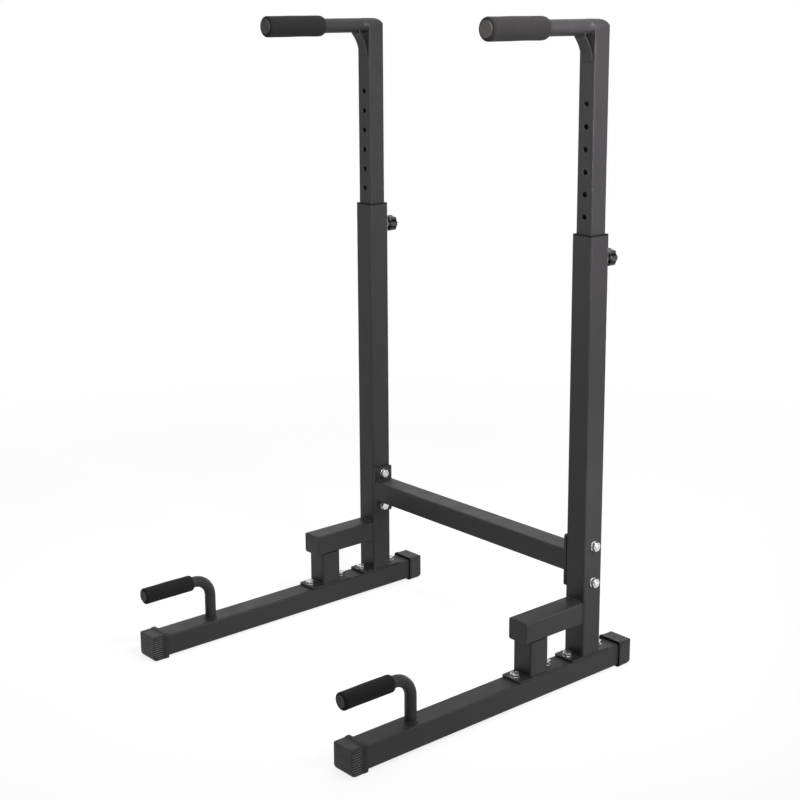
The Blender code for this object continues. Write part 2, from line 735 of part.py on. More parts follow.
def dip_bar(builder, side, x):
    """The round bar at the head of the inner tube, with its gusset and grip."""
    profile = [
        (BAR_DIAMETER / 2, DIP_GRIP_FRONT),
        (BAR_DIAMETER / 2, BAR_START),
        (BAR_DIAMETER / 2 - BAR_WALL, BAR_START),
        (BAR_DIAMETER / 2 - BAR_WALL, DIP_GRIP_FRONT),
    ]
    builder.part(f"dip_bar_{side}", turned("dip_bar", profile, "y", closed=True), (x, UPRIGHT_Y, BAR_Z), "steel")

    place = (x, UPRIGHT_Y, BAR_Z)
    sheet = prism("gusset", [gusset_outline()], GUSSET_WIDTH, "x")
    gusset = builder.part(f"dip_gusset_{side}", sheet, place, "steel")
    saddle = rod("gusset_saddle", BAR_DIAMETER / 2 + FIT, 4 * GUSSET_REACH, "y", [(0.0, -BAR_START, 0.0)], FINE_SIDES)
    boolean(gusset, builder.cutter(f"gusset_saddle_{side}", saddle, place))

    grip = (DIP_GRIP_DIAMETER, DIP_GRIP_LENGTH, DIP_SHOULDER_LENGTH, DIP_NOSE_RADIUS)
    bar = (BAR_DIAMETER, BAR_WALL)
    grip_and_plug(builder, "dip", side, (x, UPRIGHT_Y, BAR_Z), bar, DIP_GRIP_FRONT, grip)


def push_up_handle(builder, side, x):
    """The bent tube that stands on the base beam, with its weld and grip."""
    foot = BEAM_TOP + FIT
    corner = HANDLE_Z - HANDLE_BEND_RADIUS

    def path(over):
        bend = arc((0.0, 0.0), HANDLE_BEND_RADIUS, 0, 90, BEND_STEPS)
        points = [(0.0, 0.0, foot - over)]
        points += [(0.0, y - HANDLE_BEND_RADIUS, corner + z) for y, z in bend]
        points.append((0.0, HANDLE_OFFSET - PUSH_GRIP_FRONT - over, HANDLE_Z))
        return points

    place = (x, UPRIGHT_Y - HANDLE_OFFSET, 0.0)
    tube = swept("push_up_handle", path(0.0), HANDLE_DIAMETER / 2, TUBE_RESOLUTION)
    handle = builder.part(f"push_up_handle_{side}", tube, place, "steel")
    fillet = [
        (0.0, foot + 2 * HANDLE_WELD),
        (HANDLE_DIAMETER / 2 - HANDLE_WELD, foot + 2 * HANDLE_WELD),
        (HANDLE_DIAMETER / 2 + HANDLE_WELD, foot),
        (0.0, foot),
    ]
    weld = turned("weld", fillet, "z", WASHER_SIDES)
    boolean(handle, builder.cutter(f"handle_weld_{side}", weld, place), "UNION")
    bore = swept("handle_bore", path(HANDLE_WALL), HANDLE_DIAMETER / 2 - HANDLE_WALL, BORE_RESOLUTION)
    boolean(handle, builder.cutter(f"handle_bore_{side}", bore, place))

    grip = (PUSH_GRIP_DIAMETER, PUSH_GRIP_LENGTH, PUSH_SHOULDER_LENGTH, PUSH_NOSE_RADIUS)
    bar = (HANDLE_DIAMETER, HANDLE_WALL)
    grip_and_plug(builder, "push_up", side, (x, UPRIGHT_Y, HANDLE_Z), bar, PUSH_GRIP_FRONT, grip)


def pull_pin(builder, side, x):
    """Housing on the sleeve's rear face, sprung plunger through it, and the knob on its stem."""
    place = (x, UPRIGHT_Y, PIN_Z)
    end = HOUSING_Y + HOUSING_LENGTH
    chamber = COLLAR_DIAMETER / 2 + PIN_FIT
    nose_bore = PIN_DIAMETER / 2 + PIN_FIT
    stem_bore = STEM_DIAMETER / 2 + PIN_FIT
    profile = [
        (HOUSING_DIAMETER / 2, -HOUSING_Y),
        (HOUSING_DIAMETER / 2, -end + HOUSING_REAR_LIP / 2),
        (HOUSING_DIAMETER / 2 - HOUSING_REAR_LIP / 2, -end),
        (stem_bore, -end),
        (stem_bore, -end + HOUSING_REAR_LIP),
        (chamber, -end + HOUSING_REAR_LIP),
        (chamber, -HOUSING_Y - HOUSING_LIP),
        (nose_bore, -HOUSING_Y - HOUSING_LIP),
        (nose_bore, -HOUSING_Y),
    ]
    barrel = turned("pin_housing", profile, "y", HOLE_SIDES, closed=True)
    housing = builder.part(f"pin_housing_{side}", barrel, place, "zinc")
    ring_radius = (chamber + HOUSING_DIAMETER / 2) / 2
    ring = arc((0.0, 0.0), ring_radius, 0, 360, HOLE_SIDES)[:-1]
    nut = prism(
        "weld_nut",
        [hexagon(HOUSING_HEX), ring],
        HOUSING_HEX_LENGTH,
        "y",
        (0.0, HOUSING_Y + HOUSING_HEX_LENGTH / 2, 0.0),
        smooth=False,
    )
    boolean(housing, builder.cutter(f"weld_nut_{side}", nut, place), "UNION")

    tip = INNER_SIDE / 2 - PIN_REACH
    stem_end = KNOB_Y + KNOB_RECESS + KNOB_BORE_DEPTH - FIT
    profile = [
        (0.0, -tip),
        (PIN_DIAMETER / 2 - PIN_NOSE, -tip),
        (PIN_DIAMETER / 2, -tip - PIN_NOSE),
        (PIN_DIAMETER / 2, -COLLAR_Y),
        (COLLAR_DIAMETER / 2, -COLLAR_Y),
        (COLLAR_DIAMETER / 2, -COLLAR_Y - COLLAR_LENGTH),
        (STEM_DIAMETER / 2, -COLLAR_Y - COLLAR_LENGTH),
        (STEM_DIAMETER / 2, -stem_end),
        (0.0, -stem_end),
    ]
    builder.part(f"pull_pin_{side}", turned("pull_pin", profile, "y", HOLE_SIDES), place, "zinc")

    low = COLLAR_Y + COLLAR_LENGTH + FIT + SPRING_WIRE / 2
    high = end - HOUSING_REAR_LIP - FIT - SPRING_WIRE / 2
    radius = COLLAR_DIAMETER / 2 - SPRING_WIRE / 2 - PIN_FIT
    count = int(SPRING_TURNS * SPRING_POINTS)
    path = []
    for i in range(count + 1):
        angle = 2 * math.pi * SPRING_TURNS * i / count
        path.append((radius * math.cos(angle), low + (high - low) * i / count, radius * math.sin(angle)))
    spring = swept("pin_spring", path, SPRING_WIRE / 2, WIRE_RESOLUTION)
    builder.part(f"pin_spring_{side}", spring, place, "zinc")

    points = []
    for i in range(KNOB_LOBES * KNOB_POINTS):
        angle = 2 * math.pi * i / (KNOB_LOBES * KNOB_POINTS)
        radius = KNOB_DIAMETER / 2 - KNOB_LOBE_DEPTH * (1 - math.cos(KNOB_LOBES * angle)) / 2
        points.append((radius * math.cos(angle), radius * math.sin(angle)))
    body = prism("knob", [points], KNOB_LENGTH, "y", (0.0, KNOB_Y + KNOB_LENGTH / 2, 0.0))
    knob = builder.part(f"pull_knob_{side}", body, place, "glossy")
    edge = knob.modifiers.new("rounded edges", "BEVEL")
    edge.width = KNOB_EDGE
    edge.segments = 2
    edge.limit_method = "ANGLE"
    edge.angle_limit = math.radians(60)
    recess = HOUSING_DIAMETER / 2 + 2 * PIN_FIT
    profile = [
        (0.0, -KNOB_Y + KNOB_EDGE),
        (recess, -KNOB_Y + KNOB_EDGE),
        (recess, -KNOB_Y - KNOB_RECESS),
        (stem_bore, -KNOB_Y - KNOB_RECESS),
        (stem_bore, -KNOB_Y - KNOB_RECESS - KNOB_BORE_DEPTH),
        (0.0, -KNOB_Y - KNOB_RECESS - KNOB_BORE_DEPTH),
    ]
    core = turned("knob_core", profile, "y", HOLE_SIDES)
    boolean(knob, builder.cutter(f"knob_core_{side}", core, place))


def crossbar(builder):
    """The one tube between the frames, with a plate at each end."""
    face = FRAME_X - SLEEVE_SIDE / 2 - FIT
    length = 2 * (face - END_PLATE_THICKNESS - FIT)
    sizes = (CROSSBAR_DEPTH, CROSSBAR_HEIGHT, CROSSBAR_CORNER, CROSSBAR_WALL, length)
    builder.part("crossbar", hollow("crossbar", *sizes, "x"), (0.0, UPRIGHT_Y, CROSSBAR_Z), "steel")
    for side, sx in SIDES:
        place = (sx * (face - END_PLATE_THICKNESS / 2), UPRIGHT_Y, CROSSBAR_Z)
        outline = rounded(CROSSBAR_DEPTH, END_PLATE_HEIGHT, PLATE_THICKNESS / 2, 1)
        shape = prism("end_plate", [outline], END_PLATE_THICKNESS, "x")
        plate = builder.part(f"crossbar_plate_{side}", shape, place, "steel")
        holes = [(0.0, 0.0, up * CROSS_BOLT_OFFSET) for up in (-1, 1)]
        drill = rod(
            "end_plate_drill",
            BOLT_DIAMETER / 2 + BOLT_CLEARANCE,
            4 * END_PLATE_THICKNESS,
            "x",
            holes,
        )
        boolean(plate, builder.cutter(f"end_plate_drill_{side}", drill, place))


def hexagon_block(name, low, high, axis):
    """A hexagon prism of spanner size between two places along the axis."""
    middle = (low + high) / 2
    offset = (middle, 0.0, 0.0) if axis == "x" else (0.0, 0.0, middle)
    return prism(name, [hexagon(HEX_SIZE)], high - low, axis, offset, smooth=False)


def tightened_bolt(builder, name, place, grip, axis, nut_washer=False, rotation=0.0):
    """A hexagon bolt with its washer and nut, which clamp what lies between 0 and -grip."""
    low = -grip - 2 * FIT
    seat = low - WASHER_THICKNESS if nut_washer else low
    end = seat - NUT_HEIGHT - BOLT_TIP
    start = WASHER_THICKNESS + HEAD_HEIGHT / 2

    def disc(label, centre, thickness, radius, sides):
        offset = (centre, 0.0, 0.0) if axis == "x" else (0.0, 0.0, centre)
        return rod(label, radius, thickness, axis, [offset], sides)

    shank = disc("bolt", (start + end) / 2, start - end, BOLT_DIAMETER / 2, SHANK_SIDES)
    bolt = builder.part(name, shank, place, "zinc", rotation)
    washers = [WASHER_THICKNESS / 2]
    if nut_washer:
        washers.append(low - WASHER_THICKNESS / 2)
    for number, centre in enumerate(washers):
        washer = disc("washer", centre, WASHER_THICKNESS, WASHER_DIAMETER / 2, WASHER_SIDES)
        boolean(bolt, builder.cutter(f"{name}_washer_{number}", washer, place, rotation), "UNION")
    head = hexagon_block("head", WASHER_THICKNESS / 2, WASHER_THICKNESS + HEAD_HEIGHT, axis)
    boolean(bolt, builder.cutter(f"{name}_head", head, place, rotation), "UNION")
    overlap = WASHER_THICKNESS / 2 if nut_washer else 0.0
    nut = hexagon_block("nut", seat - NUT_HEIGHT, seat + overlap, axis)
    boolean(bolt, builder.cutter(f"{name}_nut", nut, place, rotation), "UNION")


def bolts(builder):
    """Foot bolts through plate and beam wall, and crossbar bolts right through the sleeves."""
    foot_grip = PLATE_THICKNESS + FIT + BEAM_WALL
    cross_grip = END_PLATE_THICKNESS + FIT + SLEEVE_SIDE
    face = FRAME_X - SLEEVE_SIDE / 2 - FIT - END_PLATE_THICKNESS
    for side, sx in SIDES:
        for number, y in enumerate(foot_bolt_places(), start=1):
            place = (sx * FRAME_X, y, PLATE_TOP + FIT)
            tightened_bolt(builder, f"foot_bolt_{side}_{number}", place, foot_grip, "z")
        for level, up in (("lower", -1), ("upper", 1)):
            place = (sx * (face - FIT), UPRIGHT_Y, CROSSBAR_Z + up * CROSS_BOLT_OFFSET)
            turn = math.pi if sx > 0 else 0.0
            name = f"crossbar_bolt_{side}_{level}"
            tightened_bolt(builder, name, place, cross_grip, "x", nut_washer=True, rotation=turn)


SIDES = (("left", -1), ("right", 1))


def main():
    clear_scene()
    builder = Builder()
    for side, sx in SIDES:
        x = sx * FRAME_X
        base_beam(builder, side, x)
        end_cap(builder, f"front_cap_{side}", x, UPRIGHT_Y - FRONT_REACH, 0.0)
        end_cap(builder, f"rear_cap_{side}", x, UPRIGHT_Y + REAR_REACH, math.pi)
        sleeve(builder, side, x)
        foot_plate(builder, f"upright_plate_{side}", x, UPRIGHT_Y)
        foot_plate(builder, f"step_plate_{side}", x, UPRIGHT_Y - STEP_POST_OFFSET)
        step_bracket(builder, side, x)
        inner_tube(builder, side, x)
        guides(builder, side, x)
        dip_bar(builder, side, x)
        push_up_handle(builder, side, x)
        pull_pin(builder, side, x)
    crossbar(builder)
    bolts(builder)


main()
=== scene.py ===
"""Finished pieces for a free-standing dip stand, and a plain studio round it.

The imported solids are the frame. Each solid gets a finer piece in the same place, made of rings
of points, with a material that follows the real finish. Lengths are in metres, +Z is up, and -Y
is the front of the stand.
"""

import json
import math

import bmesh
import bpy
from mathutils import Matrix, Vector

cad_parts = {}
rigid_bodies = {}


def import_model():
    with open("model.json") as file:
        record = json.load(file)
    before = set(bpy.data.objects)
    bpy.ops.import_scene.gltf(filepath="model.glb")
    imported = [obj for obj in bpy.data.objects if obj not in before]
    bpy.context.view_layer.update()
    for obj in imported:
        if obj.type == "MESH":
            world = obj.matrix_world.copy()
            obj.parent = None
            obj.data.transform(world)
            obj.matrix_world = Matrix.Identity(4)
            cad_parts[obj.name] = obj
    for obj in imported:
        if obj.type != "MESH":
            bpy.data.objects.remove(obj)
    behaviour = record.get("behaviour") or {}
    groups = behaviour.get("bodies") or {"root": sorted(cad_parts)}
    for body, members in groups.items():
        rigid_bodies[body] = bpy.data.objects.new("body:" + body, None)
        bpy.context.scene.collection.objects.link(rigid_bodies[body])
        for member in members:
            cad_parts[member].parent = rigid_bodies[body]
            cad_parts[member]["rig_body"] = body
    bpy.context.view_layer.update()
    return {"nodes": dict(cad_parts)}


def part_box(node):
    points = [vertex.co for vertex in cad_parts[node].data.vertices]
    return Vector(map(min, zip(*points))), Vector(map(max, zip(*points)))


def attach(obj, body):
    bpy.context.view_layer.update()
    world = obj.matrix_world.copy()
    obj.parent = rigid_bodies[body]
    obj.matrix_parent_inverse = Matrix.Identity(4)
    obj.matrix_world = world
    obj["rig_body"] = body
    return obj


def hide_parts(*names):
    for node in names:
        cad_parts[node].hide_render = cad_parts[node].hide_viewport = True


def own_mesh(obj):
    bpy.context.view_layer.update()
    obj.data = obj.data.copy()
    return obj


bl_info = {
    "name": "Dip Stand Finish",
    "version": (1, 0, 0),
    "blender": (4, 5, 0),
    "location": "View3D > Sidebar > Dip Stand",
    "description": "Builds the finished pieces of a dip stand and a plain studio",
    "category": "Object",
}

for leftover in list(bpy.data.objects):
    bpy.data.objects.remove(leftover, do_unlink=True)

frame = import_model()

SIDES = {"left": -1, "right": 1}
LEVELS = ("lower", "upper")
MM = 0.001
WHITE = (1.0, 1.0, 1.0, 1.0)

# Points closer than this become one, and edges that bend more are shaded sharp
SAME_PLACE = 1e-7
SHARP_ANGLE = math.radians(38)

# A weld bead's thickness in a dip, what a crest adds, and its thickness at an end, as shares of
# its radius
BEAD_DIP = 0.90
BEAD_SWELL = 0.14
BEAD_END = 0.5
BEAD_SIDES = 8
RIPPLE_STEPS = 4

# Noise keeps mostly to its middle third, and painted shading runs from a painted highlight on a rib to
# painted shade in a groove
NOISE = (0.33, 0.67)
SHADING_SPAN = (-1.0, 1.0)

# The painted shading at which a moulded cap or plug has just the colour of its plastic, with no painted
# highlight or shade
PLAIN_SHADING = 0.31


def linear(hex_colour):
    """An sRGB hex colour as linear red, green and blue."""
    channels = [int(hex_colour[i : i + 2], 16) / 255 for i in (0, 2, 4)]
    return tuple(c / 12.92 if c <= 0.04045 else ((c + 0.055) / 1.055) ** 2.4 for c in channels)


def colour_property(label, use, hex_colour):
    return bpy.props.FloatVectorProperty(
        name=label, description=use, default=linear(hex_colour), min=0.0, max=1.0, subtype="COLOR"
    )


def length_property(label, use, length):
    return bpy.props.FloatProperty(
        name=label, description=use, default=length, min=0.0, soft_max=1.0, precision=4, unit="LENGTH"
    )


def power_property(label, use, watts):
    return bpy.props.FloatProperty(
        name=label, description=use, default=watts, min=0.0, unit="POWER"
    )


class DipStandColours(bpy.types.PropertyGroup):
    """Colours of the finishes."""

    steel: colour_property("Powder coat", "Powder coat on every tube and plate", "2b2a2a")
    cap: colour_property("End caps", "Moulded caps, bushings and shoes", "242324")
    plug: colour_property("Plugs", "Moulded plugs in the ends of the bars", "444240")
    foam: colour_property("Foam", "Foam sleeves of the grips", "232221")
    knob: colour_property("Knobs", "Glossy pull knobs", "0d0d0e")
    zinc: colour_property("Zinc", "Plated bolts, pins and housings", "dcdddf")


class DipStandSizes(bpy.types.PropertyGroup):
    """Sizes of the details that the solids leave out."""

    tube_corner: length_property("Tube corner", "Outer corner radius of the large tubes", 0.004)
    tube_wall: length_property("Tube wall", "Wall of every square tube", 0.002)
    slide_corner: length_property("Inner tube corner", "Outer corner radius of the inner tubes", 0.003)
    edge: length_property("Edge", "Rounding of cut steel edges", 0.0005)
    bead: length_property("Weld bead", "Radius of the weld beads", 0.0017)
    ripple: length_property("Weld ripple", "Distance between two ripples of a weld", 0.003)
    rib_pitch: length_property("Rib pitch", "Distance between two ribs of an end cap", 0.00475)
    rib_depth: length_property("Rib depth", "Depth of the grooves between the ribs", 0.0015)
    hole: length_property("Height hole", "Diameter of the height holes", 0.0106)
    hole_pitch: length_property("Hole pitch", "Distance between two height holes", 0.0423)
    lobe_depth: length_property("Knob lobe", "Depth of the valleys between a knob's lobes", 0.0022)


class DipStandStudio(bpy.types.PropertyGroup):
    """Floor and lamps."""

    floor: colour_property("Floor", "Colour of the floor", "8e8e8c")
    key: power_property("Key lamp", "Tall lamp on the right", 2.9)
    fill: power_property("Fill lamp", "Large lamp in front", 1.6)
    upper: power_property("Upper lamp", "Lamp over the near dip bar", 4.3)
    low: power_property("Low lamp", "Small lamp by the foot of the near frame", 0.3)
    front: power_property("Front lamp", "Small lamp beside the camera", 2.1)
    rear: power_property("Rear lamp", "Large lamp behind the stand", 3.0)
    top: power_property("Top lamp", "Large lamp above", 28.0)
    ambient: bpy.props.FloatProperty(
        name="Room light", description="Strength of the light from all around", default=0.13, min=0.0
    )


# Materials


def add(tree, kind, inputs=None, **settings):
    """Adds a node, with its settings, and sets or links its inputs."""
    made = tree.nodes.new("ShaderNode" + kind)
    for name, value in settings.items():
        setattr(made, name, value)
    for name, value in (inputs or {}).items():
        if isinstance(value, bpy.types.NodeSocket):
            tree.links.new(value, made.inputs[name])
        else:
            made.inputs[name].default_value = value
    return made


def begin_material(name):
    """An empty material's node tree, and the place on the piece in metres."""
    material = bpy.data.materials.new(name)
    material.use_nodes = True
    tree = material.node_tree
    tree.nodes.clear()
    return material, tree, add(tree, "TexCoord").outputs["Object"]


def per_metre(millimetres):
    """Texture scale of a pattern that repeats about every so many millimetres."""
    return 1.0 / (millimetres * MM)


def mapped(value, span, low, high):
    """Inputs that map a value from its span to a range."""
    return {"Value": value, "From Min": span[0], "From Max": span[1], "To Min": low, "To Max": high}


def shades(tree, noise, colour, spread, span=NOISE):
    """A colour that wanders with a noise, a little to both sides of the given one. Mix has its
    colours in sockets 6 and 7, and gives the mixed colour in output 2."""
    factor = add(tree, "MapRange", mapped(noise, span, 0.0, 1.0)).outputs[0]
    dark, light = ((*(c * share for c in colour), 1.0) for share in (1 - spread, 1 + spread))
    return add(tree, "Mix", {0: factor, 6: dark, 7: light}, data_type="RGBA").outputs[2]


def with_painted_shading(tree, colour, brightness, specular=None):
    """A colour, and how strongly it mirrors, that follow the piece's painted shading: lighter and more
    mirroring for a painted highlight, darker and duller for painted shade. Both come with their value
    at a full painted highlight and at full painted shade."""
    wear = add(tree, "Attribute", attribute_name="wear").outputs["Fac"]
    factor = add(tree, "MapRange", mapped(wear, SHADING_SPAN, *brightness)).outputs[0]
    tint = add(tree, "VectorMath", {0: colour, "Scale": factor}, operation="SCALE")
    inputs = {"Base Color": tint.outputs[0]}
    if specular:
        mirror = add(tree, "MapRange", mapped(wear, SHADING_SPAN, *specular))
        inputs["Specular IOR Level"] = mirror.outputs[0]
    return inputs


def finish_material(tree, rough, bump, inputs):
    """Adds the shader and the output. rough is a noise with the roughness at its two ends, and
    bump is a height with its strength and its depth in metres."""
    noise, smooth, dull = rough
    height, strength, depth = bump
    relief = add(tree, "Bump", {"Height": height, "Strength": strength, "Distance": depth})
    roughness = add(tree, "MapRange", mapped(noise, NOISE, smooth, dull))
    surface = {"Roughness": roughness.outputs[0], "Normal": relief.outputs[0]}
    shader = add(tree, "BsdfPrincipled", surface | inputs)
    add(tree, "OutputMaterial", {"Surface": shader.outputs[0]})


def powder_coated_steel(colours):
    """Mild steel, sprayed with powder and baked. The satin skin has a fine orange peel that
    breaks up the reflection of the lamps, over cloudy patches where the powder lies thicker. Real
    peel is about 1 mm wide, drawn here at 2.4 mm so that it shows."""
    material, tree, place = begin_material("powder_coated_steel_baked")
    peel = add(tree, "TexNoise", {"Vector": place, "Scale": per_metre(2.4), "Detail": 3.0})
    cloud = add(tree, "TexNoise", {"Vector": place, "Scale": per_metre(45.0), "Detail": 3.0})
    grit = add(tree, "TexNoise", {"Vector": place, "Scale": per_metre(3.2), "Detail": 4.0})
    mixed = add(tree, "Math", {0: cloud.outputs[0], 1: grit.outputs[0]}, operation="ADD")
    halved = add(tree, "Math", {0: mixed.outputs[0], 1: 0.5}, operation="MULTIPLY")
    tint = shades(tree, halved.outputs[0], colours.steel, 0.22)
    inputs = {"Base Color": tint, "IOR": 1.5, "Specular IOR Level": 0.32}
    finish_material(tree, (cloud.outputs[0], 0.42, 0.54), (peel.outputs[0], 0.55, 0.0003), inputs)
    return material


def moulded_plastic(name, colour, roughness):
    """Polypropylene, injection moulded in a spark-eroded tool. The fine texture makes it dull and even.
    A painted highlight makes the edges of its ribs pale and more mirroring, and painted shade makes the
    grooves, sockets and bushings dark and dull. Its grain is about 0.3 mm, drawn here at 1.1 mm so that
    it shows."""
    material, tree, place = begin_material(name)
    grain = add(tree, "TexNoise", {"Vector": place, "Scale": per_metre(1.1), "Detail": 3.0})
    flow = add(tree, "TexNoise", {"Vector": place, "Scale": per_metre(14.0), "Detail": 2.0})
    body = shades(tree, flow.outputs[0], colour, 0.10)
    # Painted highlight on ribs, painted shade in grooves, sockets and bushings
    inputs = with_painted_shading(tree, body, (2.9, 0.0), (0.85, 0.05)) | {"IOR": 1.49}
    rough = (flow.outputs[0], roughness - 0.05, roughness + 0.05)
    finish_material(tree, rough, (grain.outputs[0], 0.35, 0.0001), inputs)
    return material


def nitrile_foam(colours):
    """Nitrile rubber foam, extruded and cut. Its small open pores drink the light, and a faint
    dusty sheen shows at the edges. Pores are about 0.4 mm, drawn here at 1.3 mm."""
    material, tree, place = begin_material("nitrile_foam_extruded")
    cells = add(tree, "TexVoronoi", {"Vector": place, "Scale": per_metre(1.3)}, feature="F1")
    swell = add(tree, "TexNoise", {"Vector": place, "Scale": per_metre(9.0), "Detail": 3.0})
    heights = {0: cells.outputs["Distance"], 1: swell.outputs[0]}
    mixed = add(tree, "Math", heights, operation="MULTIPLY")
    inputs = {"Base Color": shades(tree, swell.outputs[0], colours.foam, 0.16), "IOR": 1.45}
    inputs |= {"Specular IOR Level": 0.25, "Sheen Weight": 0.05, "Sheen Roughness": 0.5}
    finish_material(tree, (swell.outputs[0], 0.82, 0.94), (mixed.outputs[0], 0.45, 0.0003), inputs)
    return material


def gloss_moulded_abs(colours):
    """ABS, injection moulded in a polished tool. The gloss gives each lobe a hard streak of light,
    which shrink marks about 7 mm wide bend a little. A painted highlight makes the lobes' crests paler
    and more mirroring, and painted shade makes the valleys between them and the recess darker and
    duller."""
    material, tree, place = begin_material("abs_moulded_gloss")
    sink = add(tree, "TexNoise", {"Vector": place, "Scale": per_metre(7.0), "Detail": 1.0})
    smear = add(tree, "TexNoise", {"Vector": place, "Scale": per_metre(2.5), "Detail": 4.0})
    body = shades(tree, smear.outputs[0], colours.knob, 0.2)
    # Painted highlight on the lobes' crests, painted shade in the valleys and the recess
    inputs = with_painted_shading(tree, body, (1.9, 0.1), (0.8, 0.05)) | {"IOR": 1.53}
    finish_material(tree, (smear.outputs[0], 0.09, 0.18), (sink.outputs[0], 0.25, 0.0004), inputs)
    return material


def zinc_plated_steel(colours):
    """Steel, barrel plated with zinc and passivated clear. It shines softly, with a faint cloudiness
    from one crystal field to the next, about 5 mm wide. Painted shade darkens its corners and the
    hollows of its dished ends."""
    material, tree, place = begin_material("steel_zinc_plated")
    field = add(tree, "TexNoise", {"Vector": place, "Scale": per_metre(5.0), "Detail": 3.0})
    body = shades(tree, field.outputs[0], colours.zinc, 0.07)
    # Painted shade in the corners and hollows of bolts and nuts
    inputs = with_painted_shading(tree, body, (1.95, 0.05)) | {"Metallic": 1.0}
    finish_material(tree, (field.outputs[0], 0.20, 0.34), (field.outputs[0], 0.10, 0.0002), inputs)
    return material


def cap_plastic(colours):
    return moulded_plastic("polypropylene_moulded_cap", colours.cap, 0.52)


def plug_plastic(colours):
    return moulded_plastic("polypropylene_moulded_plug", colours.plug, 0.60)


# Each finish's slot, and the function that makes its material
FINISHES = {
    "steel": ("powder_coated_steel", powder_coated_steel),
    "foam": ("grip_foam", nitrile_foam),
    "gloss": ("glossy_plastic", gloss_moulded_abs),
    "zinc": ("zinc_plated_steel", zinc_plated_steel),
    "cap": ("moulded_plastic", cap_plastic),
    "plug": ("moulded_plastic", plug_plastic),
}
MATERIALS = {}


def material_for(finish):
    """The material of a finish, made when it is first asked for."""
    if finish not in MATERIALS:
        MATERIALS[finish] = FINISHES[finish][1](bpy.context.scene.dip_stand_colours)
    return MATERIALS[finish]


# Outlines: lists of (u, v) points, which turn the same way round


def arc(centre, radius, start, end, steps):
    """Points along an arc, with its angles in degrees."""
    found = []
    for i in range(steps + 1):
        angle = math.radians(start + (end - start) * i / steps)
        found.append((centre[0] + radius * math.cos(angle), centre[1] + radius * math.sin(angle)))
    return found


def rounded(width, height, corner, steps=6):
    """A rectangle about the origin with round corners."""
    points = []
    for i, (su, sv) in enumerate(((1, 1), (-1, 1), (-1, -1), (1, -1))):
        centre = (su * (width / 2 - corner), sv * (height / 2 - corner))
        points += arc(centre, corner, 90 * i, 90 * (i + 1), steps)
    return points


def square(width, corner):
    return rounded(width, width, corner)


def circle(radius, sides=48):
    return arc((0.0, 0.0), radius, 0, 360, sides)[:-1]


def hexagon(across_flats, per_side=8):
    """A hexagon with points along its sides, so that its end can be chamfered round."""
    corners = arc((0.0, 0.0), across_flats / math.sqrt(3), 0, 360, 6)
    points = []
    for (u0, v0), (u1, v1) in zip(corners, corners[1:]):
        for i in range(per_side):
            points.append((u0 + (u1 - u0) * i / per_side, v0 + (v1 - v0) * i / per_side))
    return points


def on_circle(outline, radius):
    """An outline's points, moved straight in or out to a circle."""
    return [(u * radius / math.hypot(u, v), v * radius / math.hypot(u, v)) for u, v in outline]


def shrunk(outline, by):
    """A convex outline about the origin, moved in by a distance along both axes."""
    wide = max(abs(u) for u, _ in outline)
    high = max(abs(v) for _, v in outline)
    return [(u * (wide - by) / wide, v * (high - by) / high) for u, v in outline]


def quarter_round(steps):
    """The steps of a rounded rim, from the face to the side: how far in and how far along each
    one lies, as shares of the rim's radius."""
    angles = [math.pi / 2 * i / steps for i in range(steps + 1)]
    return [(1 - math.sin(angle), 1 - math.cos(angle)) for angle in angles]


# Stacks: lists of (outline, place along the axis)


def ring(outline, along, axis, centre):
    """An outline as points in space, at a place along an axis through the centre. The place can
    be a function of the point's number."""
    placed = []
    for index, (u, v) in enumerate(outline):
        w = along(index) if callable(along) else along
        spot = {"x": (w, u, v), "y": (u, w, v), "z": (u, v, w)}[axis]
        placed.append(Vector(spot) + Vector(centre))
    return placed


def skin(shape, rings, closed=False, wear=None):
    """Faces from ring to ring. Open runs get a flat face at each end. The painted shading gives each
    ring's painted highlight or painted shade, with a value for the ring or for each of its points."""
    layer = None
    if wear:
        layers = shape.verts.layers.float
        layer = layers.get("wear") or layers.new("wear")
    rows = [[shape.verts.new(point) for point in points] for points in rings]
    for row, row_shading in zip(rows, wear or ()):
        for i, vert in enumerate(row):
            vert[layer] = row_shading[i] if isinstance(row_shading, list) else row_shading
    pairs = list(zip(rows, rows[1:]))
    if closed:
        pairs.append((rows[-1], rows[0]))
    count = len(rows[0])
    for low, high in pairs:
        for i in range(count):
            j = (i + 1) % count
            shape.faces.new((low[i], low[j], high[j], high[i]))
    if not closed:
        shape.faces.new(list(reversed(rows[0])))
        shape.faces.new(rows[-1])


def stacked(shape, stack, axis, centre, closed=False, wear=None):
    """A body through the outlines of a stack."""
    skin(shape, [ring(outline, w, axis, centre) for outline, w in stack], closed, wear)


def turned(shape, profile, axis, centre, sides=48, closed=False, wear=None):
    """A round body from a profile of (radius, place along the axis)."""
    stacked(shape, [(circle(r, sides), w) for r, w in profile], axis, centre, closed, wear)


def chamfered(outline, corner, slope, at, way):
    """The end of a hexagon whose corners are turned off round: the ring that runs down its
    sides, and the round ring on its end. way points into the hexagon."""

    def drop(index):
        return at + way * max(0.0, math.hypot(*outline[index]) - corner) * slope

    return [(outline, drop), (on_circle(outline, corner), at)]


def swept(shape, path, across, radii, sides=12, closed=False):
    """A round rod along a path. across is a direction square to the path, and radii its radius.
    Either can be a list, with one for each point."""
    rings = []
    last = len(path) - 1
    for i, point in enumerate(path):
        before = path[i - 1] if i or closed else path[0]
        after = path[(i + 1) % len(path)] if i < last or closed else path[last]
        ahead = (Vector(after) - Vector(before)).normalized()
        aside = Vector(across[i] if isinstance(across, list) else across).normalized()
        other = ahead.cross(aside)
        turn = circle(radii[i] if isinstance(radii, list) else radii, sides)
        rings.append([Vector(point) + aside * u + other * v for u, v in turn])
    skin(shape, rings, closed)


